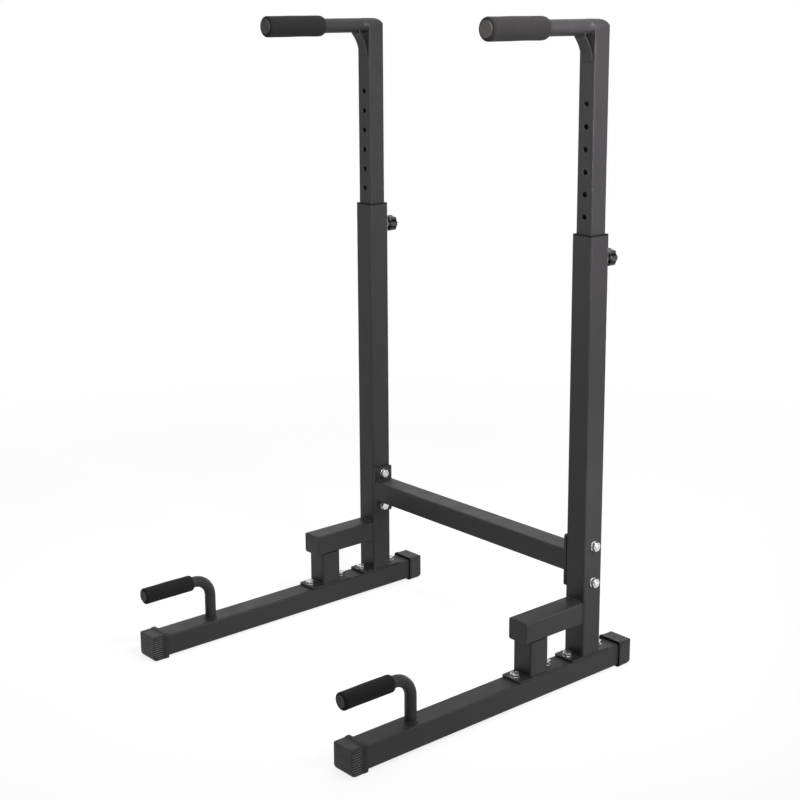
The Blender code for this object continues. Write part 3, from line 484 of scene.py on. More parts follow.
def weld(shape, path, across, bead, ripple, closed=False):
    """A weld bead: a rod in the corner between two pieces, with a ripple for each dip."""
    fine = []
    radii = []
    run = 0.0
    corners = [Vector(point) for point in path]
    if closed:
        corners.append(corners[0])
    for start, end in zip(corners, corners[1:]):
        length = (end - start).length
        count = max(1, round(length / (ripple / RIPPLE_STEPS)))
        for i in range(count):
            swell = abs(math.sin(math.pi * (run + length * i / count) / ripple))
            fine.append(start.lerp(end, i / count))
            radii.append(bead * (BEAD_DIP + BEAD_SWELL * swell))
        run += length
    if not closed:
        fine.append(corners[-1])
        radii.append(bead * BEAD_END)
        radii[0] = bead * BEAD_END
    swept(shape, fine, across, radii, BEAD_SIDES, closed)


# Pieces


def to_object(name, shape):
    """Turns a shape into an object of the scene."""
    mesh = bpy.data.meshes.new(name)
    shape.to_mesh(mesh)
    shape.free()
    made = bpy.data.objects.new(name, mesh)
    bpy.context.scene.collection.objects.link(made)
    return made


def new_piece(name, shape, finish, solid=None, body=None):
    """Turns a shape into a piece that moves with its solid's body and stands for the solid. A
    piece without a solid names its body."""
    bmesh.ops.remove_doubles(shape, verts=shape.verts, dist=SAME_PLACE)
    bmesh.ops.recalc_face_normals(shape, faces=shape.faces)
    piece = to_object(name, shape)
    piece.data.shade_smooth()
    piece.data.set_sharp_from_angle(angle=SHARP_ANGLE)
    piece.data.materials.append(material_for(finish))
    even = piece.modifiers.new("even shading", "WEIGHTED_NORMAL")
    even.keep_sharp = True
    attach(piece, body or frame["nodes"][solid]["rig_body"])
    if solid:
        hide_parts(solid)
    return piece


def middle_of(solid):
    low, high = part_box(solid)
    return (low + high) / 2


def centre_line(solid, axis):
    """The middle of a solid, moved along an axis to the origin's level."""
    middle = middle_of(solid)
    middle["xyz".index(axis)] = 0.0
    return middle


def section(solid, axis, corner):
    """A solid's outline across an axis, and its two ends along it."""
    low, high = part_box(solid)
    along = "xyz".index(axis)
    width, height = (high[i] - low[i] for i in range(3) if i != along)
    return rounded(width, height, corner), low[along], high[along]


def stack_piece(name, solid, axis, stack, finish, closed=False, wear=None):
    """A piece through the outlines of a stack, about the middle of its solid."""
    shape = bmesh.new()
    stacked(shape, stack, axis, centre_line(solid, axis), closed, wear)
    return new_piece(name, shape, finish, solid)


def tube_piece(name, solid, axis, sizes):
    """A square or rectangular tube in a solid's place, with its cut edges rounded over."""
    outer, low, high = section(solid, axis, sizes.tube_corner)
    edge = sizes.edge
    inner, cut = shrunk(outer, sizes.tube_wall), shrunk(outer, edge)
    stack = [(cut, low), (outer, low + edge), (outer, high - edge)]
    stack += [(cut, high), (inner, high), (inner, low)]
    stack_piece(name, solid, axis, stack, "steel", closed=True)


def slab_piece(name, solid, axis, sizes, edge, steps=2):
    """A plate or a closed tube in a solid's place, with rounded rims."""
    outer, low, high = section(solid, axis, sizes.tube_corner)
    rim = [(shrunk(outer, edge * inward), edge * along) for inward, along in quarter_round(steps)]
    stack = [(outline, low + along) for outline, along in rim]
    stack += [(outline, high - along) for outline, along in reversed(rim)]
    stack_piece(name, solid, axis, stack, "steel")


class PieceOperator:
    """What every piece operator shares: it builds its pieces on both sides."""

    bl_options = {"REGISTER", "UNDO"}

    def execute(self, context):
        for side in SIDES:
            self.build(context.scene.dip_stand_sizes, side)
        return {"FINISHED"}


class DIPSTAND_OT_base_beams(PieceOperator, bpy.types.Operator):
    """Build the two rectangular tubes on the floor"""

    bl_idname = "dipstand.base_beams"
    bl_label = "Base Beams"

    def build(self, sizes, side):
        tube_piece(f"beam_tube_{side}", f"base_beam_{side}", "y", sizes)


class DIPSTAND_OT_end_caps(PieceOperator, bpy.types.Operator):
    """Build the ribbed caps that close the beams and serve as feet"""

    bl_idname = "dipstand.end_caps"
    bl_label = "End Caps"

    collar_length = 0.009
    collar_step = 0.0013
    nose = 0.003
    nose_angles = (0, 22, 45, 67, 90)
    toe = 0.010
    toe_reach = 0.020
    toe_places = (0.0043, 0.0058, 0.0072, 0.0086)
    foot_corner = 0.006
    roof_corner = 0.0035
    corner_steps = 5
    groove = 0.0033
    groove_slope = 0.0014
    groove_run = 0.0008
    front_rib_end = 0.021
    rear_rib_margin = 0.004
    tread_pitch = 0.0064
    tread = 0.0040
    tread_depth = 0.0022
    skin_depth = 0.005
    gap = 0.0003
    mouth = 0.0021
    mouth_floor = 0.0012
    mouth_depth = 0.004

    # Edges shorter than this are dissolved
    speck = 1e-6

    def centres(self, length, pitch, from_start=None):
        """Where the grooves lie along a side. They are spread about its middle, or counted from
        a place near its start."""
        count = int(length / pitch)
        first = (length - (count - 1) * pitch) / 2 if from_start is None else from_start
        return [first + i * pitch for i in range(count)]

    def side(self, start, end, inward, centres, width):
        """Points along one side of the outline: four to each groove and one on each rib. Each point
        comes with its way in, with how much it belongs to a groove, and with its painted shading."""
        start, end = Vector(start), Vector(end)
        ahead = (end - start).normalized()
        half = width / 2
        bed = half - self.groove_slope
        marks = [((one + other) / 2, 0.0) for one, other in zip(centres, centres[1:])]
        for at in centres:
            marks += [(at - half, 0.0), (at - bed, 1.0), (at + bed, 1.0), (at + half, 0.0)]
        found = []
        for at, depth in sorted(marks):
            # Groove points get painted shade (1), rib points a painted highlight (-1)
            found.append((tuple(start + ahead * at), inward, depth, 2 * depth - 1))
        return found

    def corner(self, u, v, radius, start):
        """Points round a plain corner, which come with the same things."""
        found = []
        for x, z in arc((u, v), radius, start, start + 90, self.corner_steps):
            found.append(((x, z), ((u - x) / radius, (v - z) / radius), 0.0, PLAIN_SHADING))
        return found

    def outline(self, sizes, width, height):
        """Points round the cap, against the clock from its upper right corner."""
        half = width / 2
        roof, foot = self.roof_corner, self.foot_corner
        groove, pitch = self.groove, sizes.rib_pitch
        tall = height - roof - foot
        across = self.centres(width - 2 * roof, pitch)
        right = self.centres(tall, pitch, pitch / 2)
        left = [tall - at for at in right]
        sole = self.centres(width - 2 * foot, self.tread_pitch)
        points = self.corner(half - roof, height - roof, roof, 0)
        points += self.side((half - roof, height), (roof - half, height), (0, -1), across, groove)
        points += self.corner(roof - half, height - roof, roof, 90)
        points += self.side((-half, height - roof), (-half, foot), (1, 0), left, groove)
        points += self.corner(foot - half, foot, foot, 180)
        points += self.side((foot - half, 0.0), (half - foot, 0.0), (0, 1), sole, self.tread)
        points += self.corner(half - foot, foot, foot, 270)
        points += self.side((half, foot), (half, height - roof), (-1, 0), right, groove)
        return points

    def ribbed_ring(self, points, y, depth, tread):
        """The ring at a distance from the end face. The nose draws every side in but the sole,
        which the toe lifts."""
        inset = self.nose - math.sqrt(self.nose**2 - max(0.0, self.nose - y) ** 2)
        lift = self.toe - math.sqrt(self.toe**2 - max(0.0, self.toe - y) ** 2)
        row = []
        for (x, z), (nx, nz), weight, _ in points:
            # Only the sole's way in is straight up
            sole = nz > 0.99
            move = tread * weight if sole else inset + depth * weight
            raised = z + lift * max(0.0, 1 - z / self.toe_reach) ** 2
            row.append(Vector((x + nx * move, y, raised + nz * move)))
        return row

    def collar_ring(self, points, y, out, depth):
        """A ring of the collar, which stands out from the sides and the roof."""
        row = []
        for (x, z), (nx, nz), weight, _ in points:
            move = depth * weight - out
            row.append(Vector((x + nx * move, y, z + min(0.0, nz) * move)))
        return row

    def socket_ring(self, points, socket, y, wider):
        """A ring of the socket round the beam, or of its wider mouth."""
        half, low, high = socket
        row = []
        for (x, z), _, _, _ in points:
            x = min(half + wider, max(-half - wider, x))
            row.append(Vector((x, y, min(high + wider, max(low - wider, z)))))
        return row

    def rings(self, sizes, width, height, length, socket, rib_end):
        """The cap's rings from its end face to the floor of its socket, towards +Y, and their painted
        shading. The mouth of the socket is open round the beam, so that a dark line shows there."""
        points = self.outline(sizes, width, height)
        collar_start = length - self.collar_length
        run, step = self.groove_run, self.collar_step
        rim = step / 3
        stack = []
        wear = []

        def share(y):
            """How much of a groove's depth there is at a distance from the end face."""
            return max(0.0, min(1.0, y / run, (rib_end - y) / run))

        def keep(row, y):
            """Keeps an outer ring, with the painted highlight of its ribs and the painted shade of its
            grooves.
            """
            stack.append(row)
            wear.append([PLAIN_SHADING + (at - PLAIN_SHADING) * share(y) for _, _, _, at in points])

        places = [self.nose * (1 - math.cos(math.radians(angle))) for angle in self.nose_angles]
        places += [*self.toe_places, self.toe, collar_start - run, collar_start]
        places += [y for y in (rib_end - run, rib_end) if y < collar_start - run]
        for y in sorted(places):
            tread = self.tread_depth if y < collar_start else 0.0
            keep(self.ribbed_ring(points, y, sizes.rib_depth * share(y), tread), y)
        collar = [(collar_start + step, step)]
        collar += [(y, step) for y in (rib_end - run, rib_end) if y > collar_start + step]
        for y, out in (*collar, (length - rim, step), (length, step - rim)):
            keep(self.collar_ring(points, y, out, (sizes.rib_depth + out) * share(y)), y)
        inner = length - self.mouth_depth
        mouth = [(length, self.mouth), (inner, self.mouth_floor)]
        # The mouth and the socket get full painted shade
        for y, wider in (*mouth, (inner, 0.0), (self.skin_depth, 0.0)):
            stack.append(self.socket_ring(points, socket, y, wider))
            wear.append(SHADING_SPAN[1])
        return stack, wear

    def build(self, sizes, side):
        beam_low, beam_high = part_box(f"base_beam_{side}")
        half = (beam_high.x - beam_low.x) / 2 + self.gap
        socket = (half, beam_low.z - self.gap, beam_high.z + self.gap)
        for end, turn in (("front", 1), ("rear", -1)):
            solid = f"{end}_cap_{side}"
            low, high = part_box(solid)
            width = high.x - low.x - 2 * self.collar_step
            height = high.z - self.collar_step
            length = high.y - low.y
            rib_end = self.front_rib_end if turn > 0 else length - self.rear_rib_margin
            stack, wear = self.rings(sizes, width, height, length, socket, rib_end)
            x = (low.x + high.x) / 2
            face = low.y if turn > 0 else high.y
            for row in stack:
                for spot in row:
                    spot.x = x + turn * spot.x
                    spot.y = face + turn * spot.y
            shape = bmesh.new()
            skin(shape, stack, wear=wear)
            bmesh.ops.dissolve_degenerate(shape, edges=shape.edges, dist=self.speck)
            new_piece(f"{end}_foot_cap_{side}", shape, "cap", solid)


class DIPSTAND_OT_sleeves(PieceOperator, bpy.types.Operator):
    """Build the square outer tubes of the uprights"""

    bl_idname = "dipstand.sleeves"
    bl_label = "Upright Sleeves"

    def build(self, sizes, side):
        tube_piece(f"sleeve_tube_{side}", f"upright_sleeve_{side}", "z", sizes)


class DIPSTAND_OT_plates(PieceOperator, bpy.types.Operator):
    """Build the flat plates under the posts and at the ends of the crossbar"""

    bl_idname = "dipstand.plates"
    bl_label = "Plates"

    def build(self, sizes, side):
        for plate, axis in (("upright_plate", "z"), ("step_plate", "z"), ("crossbar_plate", "x")):
            slab_piece(f"{plate}_{side}_cut", f"{plate}_{side}", axis, sizes, sizes.edge)


class DIPSTAND_OT_step_brackets(PieceOperator, bpy.types.Operator):
    """Build the short post in front of each sleeve and the arm on its head"""

    bl_idname = "dipstand.step_brackets"
    bl_label = "Step Brackets"

    nose_edge = 0.0014

    def build(self, sizes, side):
        tube_piece(f"step_post_tube_{side}", f"step_post_{side}", "z", sizes)
        slab_piece(f"step_arm_tube_{side}", f"step_arm_{side}", "y", sizes, self.nose_edge, 3)


class DIPSTAND_OT_crossbar(PieceOperator, bpy.types.Operator):
    """Build the tube that ties the two uprights"""

    bl_idname = "dipstand.crossbar"
    bl_label = "Crossbar"

    def execute(self, context):
        tube_piece("crossbar_tube", "crossbar", "x", context.scene.dip_stand_sizes)
        return {"FINISHED"}


class DIPSTAND_OT_inner_tubes(PieceOperator, bpy.types.Operator):
    """Build the sliding tubes, with their height holes and rounded heads"""

    bl_idname = "dipstand.inner_tubes"
    bl_label = "Inner Tubes"

    elbow = 0.020
    bar_radius = 0.0155
    roof = 0.004
    first_hole = 0.851
    hole_count = 8
    rim = 0.0006
    flare = 0.002
    spare = 0.01
    elbow_steps = 20
    shoulder_steps = 18
    hole_sides = 28

    def cut(self, piece, shape, operation):
        """Booleans a helper shape with the piece and removes the helper."""
        bmesh.ops.recalc_face_normals(shape, faces=shape.faces)
        helper = to_object("helper", shape)
        modifier = piece.modifiers.new("cut", "BOOLEAN")
        modifier.operation = operation
        modifier.solver = "EXACT"
        modifier.object = helper
        bpy.context.view_layer.update()
        graph = bpy.context.evaluated_depsgraph_get()
        result = bpy.data.meshes.new_from_object(piece.evaluated_get(graph))
        piece.modifiers.remove(modifier)
        piece.data = result
        bpy.data.objects.remove(helper, do_unlink=True)

    def silhouettes(self, half, base, top):
        """The tube's outlines from the side, with the bend over the dip bar, and from the front,
        with shoulders as round as the bar. Both are wider than the tube below its head."""
        reach = half + self.spare
        elbow, drop = self.elbow, self.bar_radius
        from_side = [(-reach, base), (reach, base), (reach, top - 2 * elbow), (half, top - 2 * elbow)]
        from_side += arc((half - elbow, top - elbow), elbow, 0, 90, self.elbow_steps)
        from_side.append((-reach, top))
        from_front = [(-reach, base), (reach, base), (reach, top - 2 * drop), (half, top - 2 * drop)]
        from_front += arc((half - drop, top - drop), drop, 0, 90, self.shoulder_steps)
        from_front += arc((drop - half, top - drop), drop, 90, 180, self.shoulder_steps)
        from_front += [(-half, top - 2 * drop), (-reach, top - 2 * drop)]
        return (("x", from_side), ("y", from_front))

    def build(self, sizes, side):
        solid = f"inner_tube_{side}"
        low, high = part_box(solid)
        centre = centre_line(solid, "z")
        half = (high.x - low.x) / 2
        reach = half + self.spare
        base = low.z - self.spare
        shape = bmesh.new()
        outline = square(high.x - low.x, sizes.slide_corner)
        stacked(shape, [(outline, low.z), (outline, high.z)], "z", centre)
        piece = to_object("inner", shape)

        for axis, outline in self.silhouettes(half, base, high.z):
            shape = bmesh.new()
            stacked(shape, [(outline, -reach), (outline, reach)], axis, centre)
            self.cut(piece, shape, "INTERSECT")

        bore = half - sizes.tube_wall
        corners = [(bore, bore), (-bore, bore), (-bore, -bore), (bore, -bore)]
        shape = bmesh.new()
        roof = high.z - 2 * self.bar_radius - self.roof
        stacked(shape, [(corners, base), (corners, roof)], "z", centre)
        self.cut(piece, shape, "DIFFERENCE")

        radius = sizes.hole / 2
        mouth = [(radius + self.flare, half + self.flare / 2), (radius + self.rim, half)]
        mouth.append((radius, half - self.rim))
        profile = [(r, -w) for r, w in mouth] + mouth[::-1]
        shape = bmesh.new()
        for i in range(self.hole_count):
            z = self.first_hole + i * sizes.hole_pitch
            turned(shape, profile, "y", (centre.x, centre.y, z), self.hole_sides)
        self.cut(piece, shape, "DIFFERENCE")

        finished = bmesh.new()
        finished.from_mesh(piece.data)
        bpy.data.objects.remove(piece, do_unlink=True)
        new_piece(f"slide_tube_{side}", finished, "steel", solid)


class DIPSTAND_OT_guides(PieceOperator, bpy.types.Operator):
    """Build the bushing in each sleeve's mouth and the shoe under each inner tube"""

    bl_idname = "dipstand.guides"
    bl_label = "Bushings and Shoes"

    flange = 0.0021
    edge = 0.0007
    liner = 0.0454
    bore = 0.0408
    corner = 0.002
    stem = 0.0354
    stem_core = 0.0304
    shoe_stem = 0.016
    # How much painted shade the whole bushing gets
    painted_shade = 0.8

    def build(self, sizes, side):
        self.bushing(sizes, side)
        self.shoe(side)

    def bushing(self, sizes, side):
        """A liner with a flange that lies on the sleeve's end."""
        solid = f"sleeve_bushing_{side}"
        low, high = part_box(solid)
        edge = self.edge
        outer = square(high.x - low.x, sizes.tube_corner)
        liner = square(self.liner, self.corner)
        bore = square(self.bore, sizes.slide_corner)
        seat = high.z - self.flange
        stack = [(liner, low.z), (liner, seat), (outer, seat), (outer, high.z - edge)]
        stack += [(shrunk(outer, edge / 3), high.z - edge / 3), (shrunk(outer, edge), high.z)]
        stack += [(bore, high.z), (bore, low.z)]
        # The whole bushing gets painted shade, so it is drawn darker and duller than the caps' plastic
        wear = [self.painted_shade] * len(stack)
        stack_piece(f"bushing_{side}", solid, "z", stack, "cap", closed=True, wear=wear)

    def shoe(self, side):
        """A skirt that slides in the sleeve, and a stem in the tube."""
        solid = f"guide_shoe_{side}"
        low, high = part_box(solid)
        edge = self.edge
        skirt = square(high.x - low.x, self.corner)
        stem = square(self.stem, self.corner)
        core = square(self.stem_core, self.corner)
        seat = high.z - self.shoe_stem
        stack = [(shrunk(skirt, edge), low.z), (skirt, low.z + edge), (skirt, seat)]
        stack += [(stem, seat), (stem, high.z - edge), (shrunk(stem, edge), high.z)]
        stack += [(core, high.z), (core, low.z)]
        stack_piece(f"shoe_{side}", solid, "z", stack, "cap", closed=True)


class DIPSTAND_OT_dip_bars(PieceOperator, bpy.types.Operator):
    """Build the dip bars, which flow into the tubes' heads, and the gussets under them"""

    bl_idname = "dipstand.dip_bars"
    bl_label = "Dip Bars"

    sides = 56
    wall = 0.002
    root_length = 0.011
    root_depth = 0.003
    root_skin = 0.00006
    root_turn = 1.25 * math.pi
    root_rings = 12
    root_fade = 30.0
    web_tip = 0.0023
    web_foot = 0.002
    web_sag = 0.0045
    web_steps = 14
    sheet = 0.003
    sheet_edge = 0.0009

    def head_radius(self, degrees, radius, half):
        """How far the head's outline lies from the bar's axis. Under the bar's middle it comes
        back to the bar, where the tube's front face is left open."""
        widening = half - radius
        if degrees > 180.0:
            share = min(1.0, min(degrees - 180.0, 360.0 - degrees) / self.root_fade)
            return radius + widening * math.sqrt(1 - share**2)
        across, up = abs(math.cos(math.radians(degrees))), math.sin(math.radians(degrees))
        if radius * across <= widening * up:
            return radius / up
        return widening * across + math.sqrt(radius**2 - (widening * up) ** 2)

    def build(self, sizes, side):
        self.bar(sizes, side)
        self.gusset(side)

    def bar(self, sizes, side):
        """A round tube whose root grows to the outline of the head. It lies a hair outside the
        head's skin and ends a hair inside it."""
        solid = f"dip_bar_{side}"
        low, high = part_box(solid)
        tube_low, tube_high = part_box(f"inner_tube_{side}")
        radius = (high.z - low.z) / 2
        half = (tube_high.x - tube_low.x) / 2
        edge, sides = sizes.edge, self.sides
        stack = [(circle(radius - edge, sides), low.y), (circle(radius, sides), low.y + edge)]
        run = self.root_length + self.root_depth
        for i in range(self.root_rings + 1):
            share = i / self.root_rings
            grown = share * share * (3 - 2 * share)
            skin_over = self.root_skin * math.sin(self.root_turn * share)
            outline = []
            for k, (u, v) in enumerate(circle(radius, sides)):
                head = self.head_radius(360.0 * k / sides, radius, half)
                grow = (radius + (head - radius) * grown + skin_over) / radius
                outline.append((u * grow, v * grow))
            stack.append((outline, tube_low.y - self.root_length + run * share))
        bore = circle(radius - self.wall, sides)
        stack += [(bore, tube_low.y + self.root_depth), (bore, low.y)]
        stack_piece(f"dip_bar_tube_{side}", solid, "y", stack, "steel", closed=True)

    def gusset(self, side):
        """A curved sheet from the bar's underside down to the tube, open at both sides. Its top
        reaches a little into the bar, as a weld would."""
        solid = f"dip_gusset_{side}"
        low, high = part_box(solid)
        bar_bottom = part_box(f"dip_bar_{side}")[0].z
        tip = Vector((low.y, bar_bottom - self.web_tip))
        foot = Vector((high.y - self.web_foot, low.z))
        run = foot - tip
        inward = Vector((-run.y, run.x)).normalized()

        def face(back, end):
            """One face of the sheet from the side, moved back from the front one."""
            points = [Vector((tip.x + back, high.z))]
            for i in range(self.web_steps + 1):
                share = i / self.web_steps
                hollow = self.web_sag * 4 * share * (1 - share)
                points.append(tip + run * share + inward * (back + hollow))
            points.append(Vector((high.y, end)))
            return [(min(point.x, high.y), point.y) for point in points]

        edge = self.sheet_edge
        stack = []
        for x, back in ((low.x, edge), (low.x + edge, 0.0), (high.x - edge, 0.0), (high.x, edge)):
            rear = face(self.sheet - back, low.z + self.sheet)
            stack.append((face(back, low.z) + rear[::-1], x))
        shape = bmesh.new()
        stacked(shape, stack, "x", (0.0, 0.0, 0.0))
        new_piece(f"dip_gusset_sheet_{side}", shape, "steel", solid)


class DIPSTAND_OT_push_up_handles(PieceOperator, bpy.types.Operator):
    """Build the bent handles that stand on the base beams"""

    bl_idname = "dipstand.push_up_handles"
    bl_label = "Push-up Handles"

    bend = 0.039
    radius = 0.0115
    axis_z = 0.139
    straight = 0.01
    weld_reach = 0.003
    weld_lift = 0.0004
    bend_steps = 28
    sides = 40
    weld_points = 60

    def build(self, sizes, side):
        solid = f"push_up_handle_{side}"
        low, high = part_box(solid)
        x = middle_of(solid).x
        y = high.y - self.radius - self.weld_reach
        front = y - self.bend
        corner = self.axis_z - self.bend
        path = [(x, y, low.z), (x, y, low.z + self.straight), (x, y, corner - self.straight)]
        for across, up in arc((front, corner), self.bend, 0, 90, self.bend_steps):
            path.append((x, across, up))
        path += [(x, front - self.straight, self.axis_z), (x, low.y, self.axis_z)]
        shape = bmesh.new()
        swept(shape, path, (1, 0, 0), self.radius, self.sides)
        around = circle(self.radius, self.weld_points)
        foot = [(x + u, y + v, low.z + self.weld_lift) for u, v in around]
        weld(shape, foot, (0, 0, 1), sizes.bead, sizes.ripple, closed=True)
        new_piece(f"push_up_handle_tube_{side}", shape, "steel", solid)


# Each grip's name, the radius of its bar, and how far its foam is rounded in front and behind
GRIPS = (
    ("dip", 0.0155, 0.004, 0.010),
    ("push_up", 0.0115, 0.0028, 0.005),
)


class DIPSTAND_OT_foam_grips(PieceOperator, bpy.types.Operator):
    """Build the foam sleeves of the four grips"""

    bl_idname = "dipstand.foam_grips"
    bl_label = "Foam Grips"

    gap = 0.0003
    rear_drop = 0.84
    sides = 64
    runs = 40
    nose_angle = 80
    nose_steps = 6
    rear_steps = 8
    swell = 0.00025

    # Lobes round the bar, radians along each metre of it, and the angle at the start
    waves = ((3, 55.0, 0.0), (2, -90.0, 1.3))

    def wavy_circle(self, radius, y):
        """A circle that swells and sinks a little, as soft foam does."""
        points = []
        for i, (u, v) in enumerate(circle(radius, self.sides)):
            turn = 2 * math.pi * i / self.sides
            wave = sum(math.sin(lobes * turn + twist * y + phase) for lobes, twist, phase in self.waves)
            grow = 1 + self.swell / 2 * wave / radius
            points.append((u * grow, v * grow))
        return points

    def build(self, sizes, side):
        for name, bar, nose, shoulder in GRIPS:
            solid = f"{name}_grip_{side}"
            low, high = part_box(solid)
            outer = (high.z - low.z) / 2 - self.swell
            bore = bar + self.gap
            drop = (outer - bore) * self.rear_drop
            start, end = low.y + nose, high.y - shoulder
            front = arc((0, 0), nose, self.nose_angle, 0, self.nose_steps)
            profile = [(bore, low.y), (outer - nose, low.y)]
            profile += [(outer - nose + r, start - z) for r, z in front]
            for i in range(1, self.runs):
                profile.append((outer, start + (end - start) * i / self.runs))
            for inward, along in reversed(quarter_round(self.rear_steps)):
                profile.append((outer - drop * inward, high.y - shoulder * along))
            profile.append((bore, high.y))
            stack = []
            for radius, y in profile:
                soft = radius > (bore + outer) / 2
                stack.append((self.wavy_circle(radius, y) if soft else circle(radius, self.sides), y))
            piece = stack_piece(f"{name}_foam_{side}", solid, "y", stack, "foam", closed=True)


class DIPSTAND_OT_end_plugs(PieceOperator, bpy.types.Operator):
    """Build the plugs that close the bars in front"""

    bl_idname = "dipstand.end_plugs"
    bl_label = "End Plugs"

    head = 0.0022
    wall = 0.0026
    sides = 56

    # Shares of the radius, then distances in from it, each with its depth behind the face
    dimple = ((0.72, 0.0005), (0.76, 0.0002), (0.80, 0.0))
    rim = ((0.0012, 0.0), (0.0004, 0.0003), (0.0, 0.001))

    # How far the stem's ridges stand out, and how far behind the head
    ridges = ((0.0, 0.0), (0.0, 0.002), (0.0004, 0.003), (0.0, 0.004), (0.0004, 0.006), (0.0, 0.007))
    taper = 0.0005

    def build(self, sizes, side):
        for name, bar, _, _ in GRIPS:
            solid = f"{name}_plug_{side}"
            low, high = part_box(solid)
            face = low.y
            seat = face + self.head
            stem = bar - self.wall
            profile = [(bar * share, face + depth) for share, depth in self.dimple]
            profile += [(bar - inward, face + depth) for inward, depth in self.rim]
            profile.append((bar, seat))
            profile += [(stem + out, seat + along) for out, along in self.ridges]
            profile.append((stem - self.taper, high.y))
            shape = bmesh.new()
            wear = [PLAIN_SHADING] * len(profile)
            turned(shape, profile, "y", centre_line(solid, "y"), self.sides, wear=wear)
            new_piece(f"{name}_end_plug_{side}", shape, "plug", solid)


class DIPSTAND_OT_pull_pins(PieceOperator, bpy.types.Operator):
    """Build the pull pins: housing, plunger, spring and lobed knob"""

    bl_idname = "dipstand.pull_pins"
    bl_label = "Pull Pins"

    gap = 0.0003
    hex_size = 0.024
    hex_length = 0.007
    hex_overlap = 0.0006
    hex_cut = 0.0004
    hex_slope = 0.6
    barrel = 0.0095
    thread = 0.0015
    thread_depth = 0.0005
    thread_crest = 0.0001
    thread_start = 0.0006
    thread_end = 0.0025
    tail = 0.0012
    tail_taper = 0.0015
    chamber = 0.0070
    nose_bore = 0.0048
    stem_bore = 0.0033
    front_lip = 0.004
    rear_lip = 0.0025
    pin = 0.0045
    collar = 0.0067
    collar_length = 0.002
    stem = 0.003
    wire = 0.00045
    turns = 3.0
    turn_steps = 24
    travel = 0.0095
    lobes = 7
    lobe_points = 16
    knob_skirt = 0.00325
    knob_edge = 0.0065
    recess = 0.0101
    recess_depth = 0.010
    barrel_sides = 40
    pin_sides = 32
    wire_sides = 10
    skirt_steps = 4
    edge_steps = 6

    # How far the pin's nose lies in from its side, and how far from its tip
    pin_nose = ((0.0015, 0.0), (0.0003, 0.0012), (0.0, 0.00195))

    # The knob's face: how far inside its rounded edge, how much its lobes fade, and how deep
    knob_face = ((0.0015, 0.3, 0.0), (0.0022, 0.8, 0.0004), (0.0060, 1.0, 0.0008))

    def build(self, sizes, side):
        self.housing(side)
        self.plunger(side)
        self.spring(side)
        self.knob(sizes, side)

    def housing(self, side):
        """A threaded barrel with a chamber for the spring, and its hexagon."""
        solid = f"pin_housing_{side}"
        low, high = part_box(solid)
        start, end = low.y, high.y
        barrel, root = self.barrel, self.barrel - self.thread_depth
        hex_end = start + self.hex_length
        profile = [(self.nose_bore, start), (barrel, start), (barrel, hex_end)]
        y = hex_end + self.thread_start
        while y < end - self.thread_end:
            crest = y + self.thread_depth
            far = crest + self.thread_crest
            profile += [(root, y), (barrel, crest), (barrel, far), (root, far + self.thread_depth)]
            y += self.thread
        profile += [(root, end - self.tail), (barrel - self.tail_taper, end)]
        profile += [(self.stem_bore, end), (self.stem_bore, end - self.rear_lip)]
        profile += [(self.chamber, end - self.rear_lip), (self.chamber, start + self.front_lip)]
        profile.append((self.nose_bore, start + self.front_lip))
        centre = centre_line(solid, "y")
        shape = bmesh.new()
        turned(shape, profile, "y", centre, self.barrel_sides, closed=True)

        outline = hexagon(self.hex_size)
        inner = circle(barrel - self.hex_overlap, len(outline))
        corner = self.hex_size / 2 - self.hex_cut
        stack = [(inner, start), (outline, start)]
        stack += chamfered(outline, corner, self.hex_slope, hex_end, -1)
        stack.append((inner, hex_end))
        stacked(shape, stack, "y", centre, closed=True)
        new_piece(f"pin_barrel_{side}", shape, "zinc", solid)

    def plunger(self, side):
        """The pin with its collar, and the stem that the knob is pressed on."""
        solid = f"pull_pin_{side}"
        low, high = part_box(solid)
        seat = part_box(f"pin_housing_{side}")[0].y + self.front_lip + self.gap
        back = seat + self.collar_length
        profile = [(self.pin - inward, low.y + along) for inward, along in self.pin_nose]
        profile += [(self.pin, seat), (self.collar, seat), (self.collar, back)]
        profile += [(self.stem, back), (self.stem, high.y)]
        shape = bmesh.new()
        turned(shape, profile, "y", centre_line(solid, "y"), self.pin_sides)
        new_piece(f"plunger_{side}", shape, "zinc", solid)

    def spring(self, side):
        """The spring rests against the housing's rear lip; pulling the pin would shorten it by the
        pin's travel.
        """
        solid = f"pin_spring_{side}"
        low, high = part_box(solid)
        middle = middle_of(solid)
        radius = (high.x - low.x) / 2 - self.wire
        start, end = low.y + self.wire, high.y - self.wire
        count = int(self.turns * self.turn_steps)
        path = []
        outward = []
        for i in range(count + 1):
            angle = 2 * math.pi * self.turns * i / count
            out = Vector((math.cos(angle), 0.0, math.sin(angle)))
            axis_point = Vector((middle.x, start + (end - start) * i / count, middle.z))
            path.append(axis_point + out * radius)
            outward.append(out)
        shape = bmesh.new()
        swept(shape, path, outward, self.wire, self.wire_sides)
        coil = new_piece(f"coil_spring_{side}", shape, "zinc", solid)
        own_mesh(coil)

    def knob(self, sizes, side):
        """The knob: a hub round the stem, a recess round the housing, and lobes."""
        solid = f"pull_knob_{side}"
        low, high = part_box(solid)
        radius = (high.z - low.z) / 2
        start, end = low.y, high.y
        count = self.lobes * self.lobe_points
        angles = [2 * math.pi * i / count for i in range(count)]
        valley = [(1 - math.cos(self.lobes * angle)) / 2 for angle in angles]

        def outline(shrink, faded=0.0):
            """The lobed outline, with its valleys faded out towards the hub."""
            found = []
            for angle, share in zip(angles, valley):
                r = radius - shrink - sizes.lobe_depth * share * (1 - faded)
                found.append((r * math.cos(angle), r * math.sin(angle)))
            return found

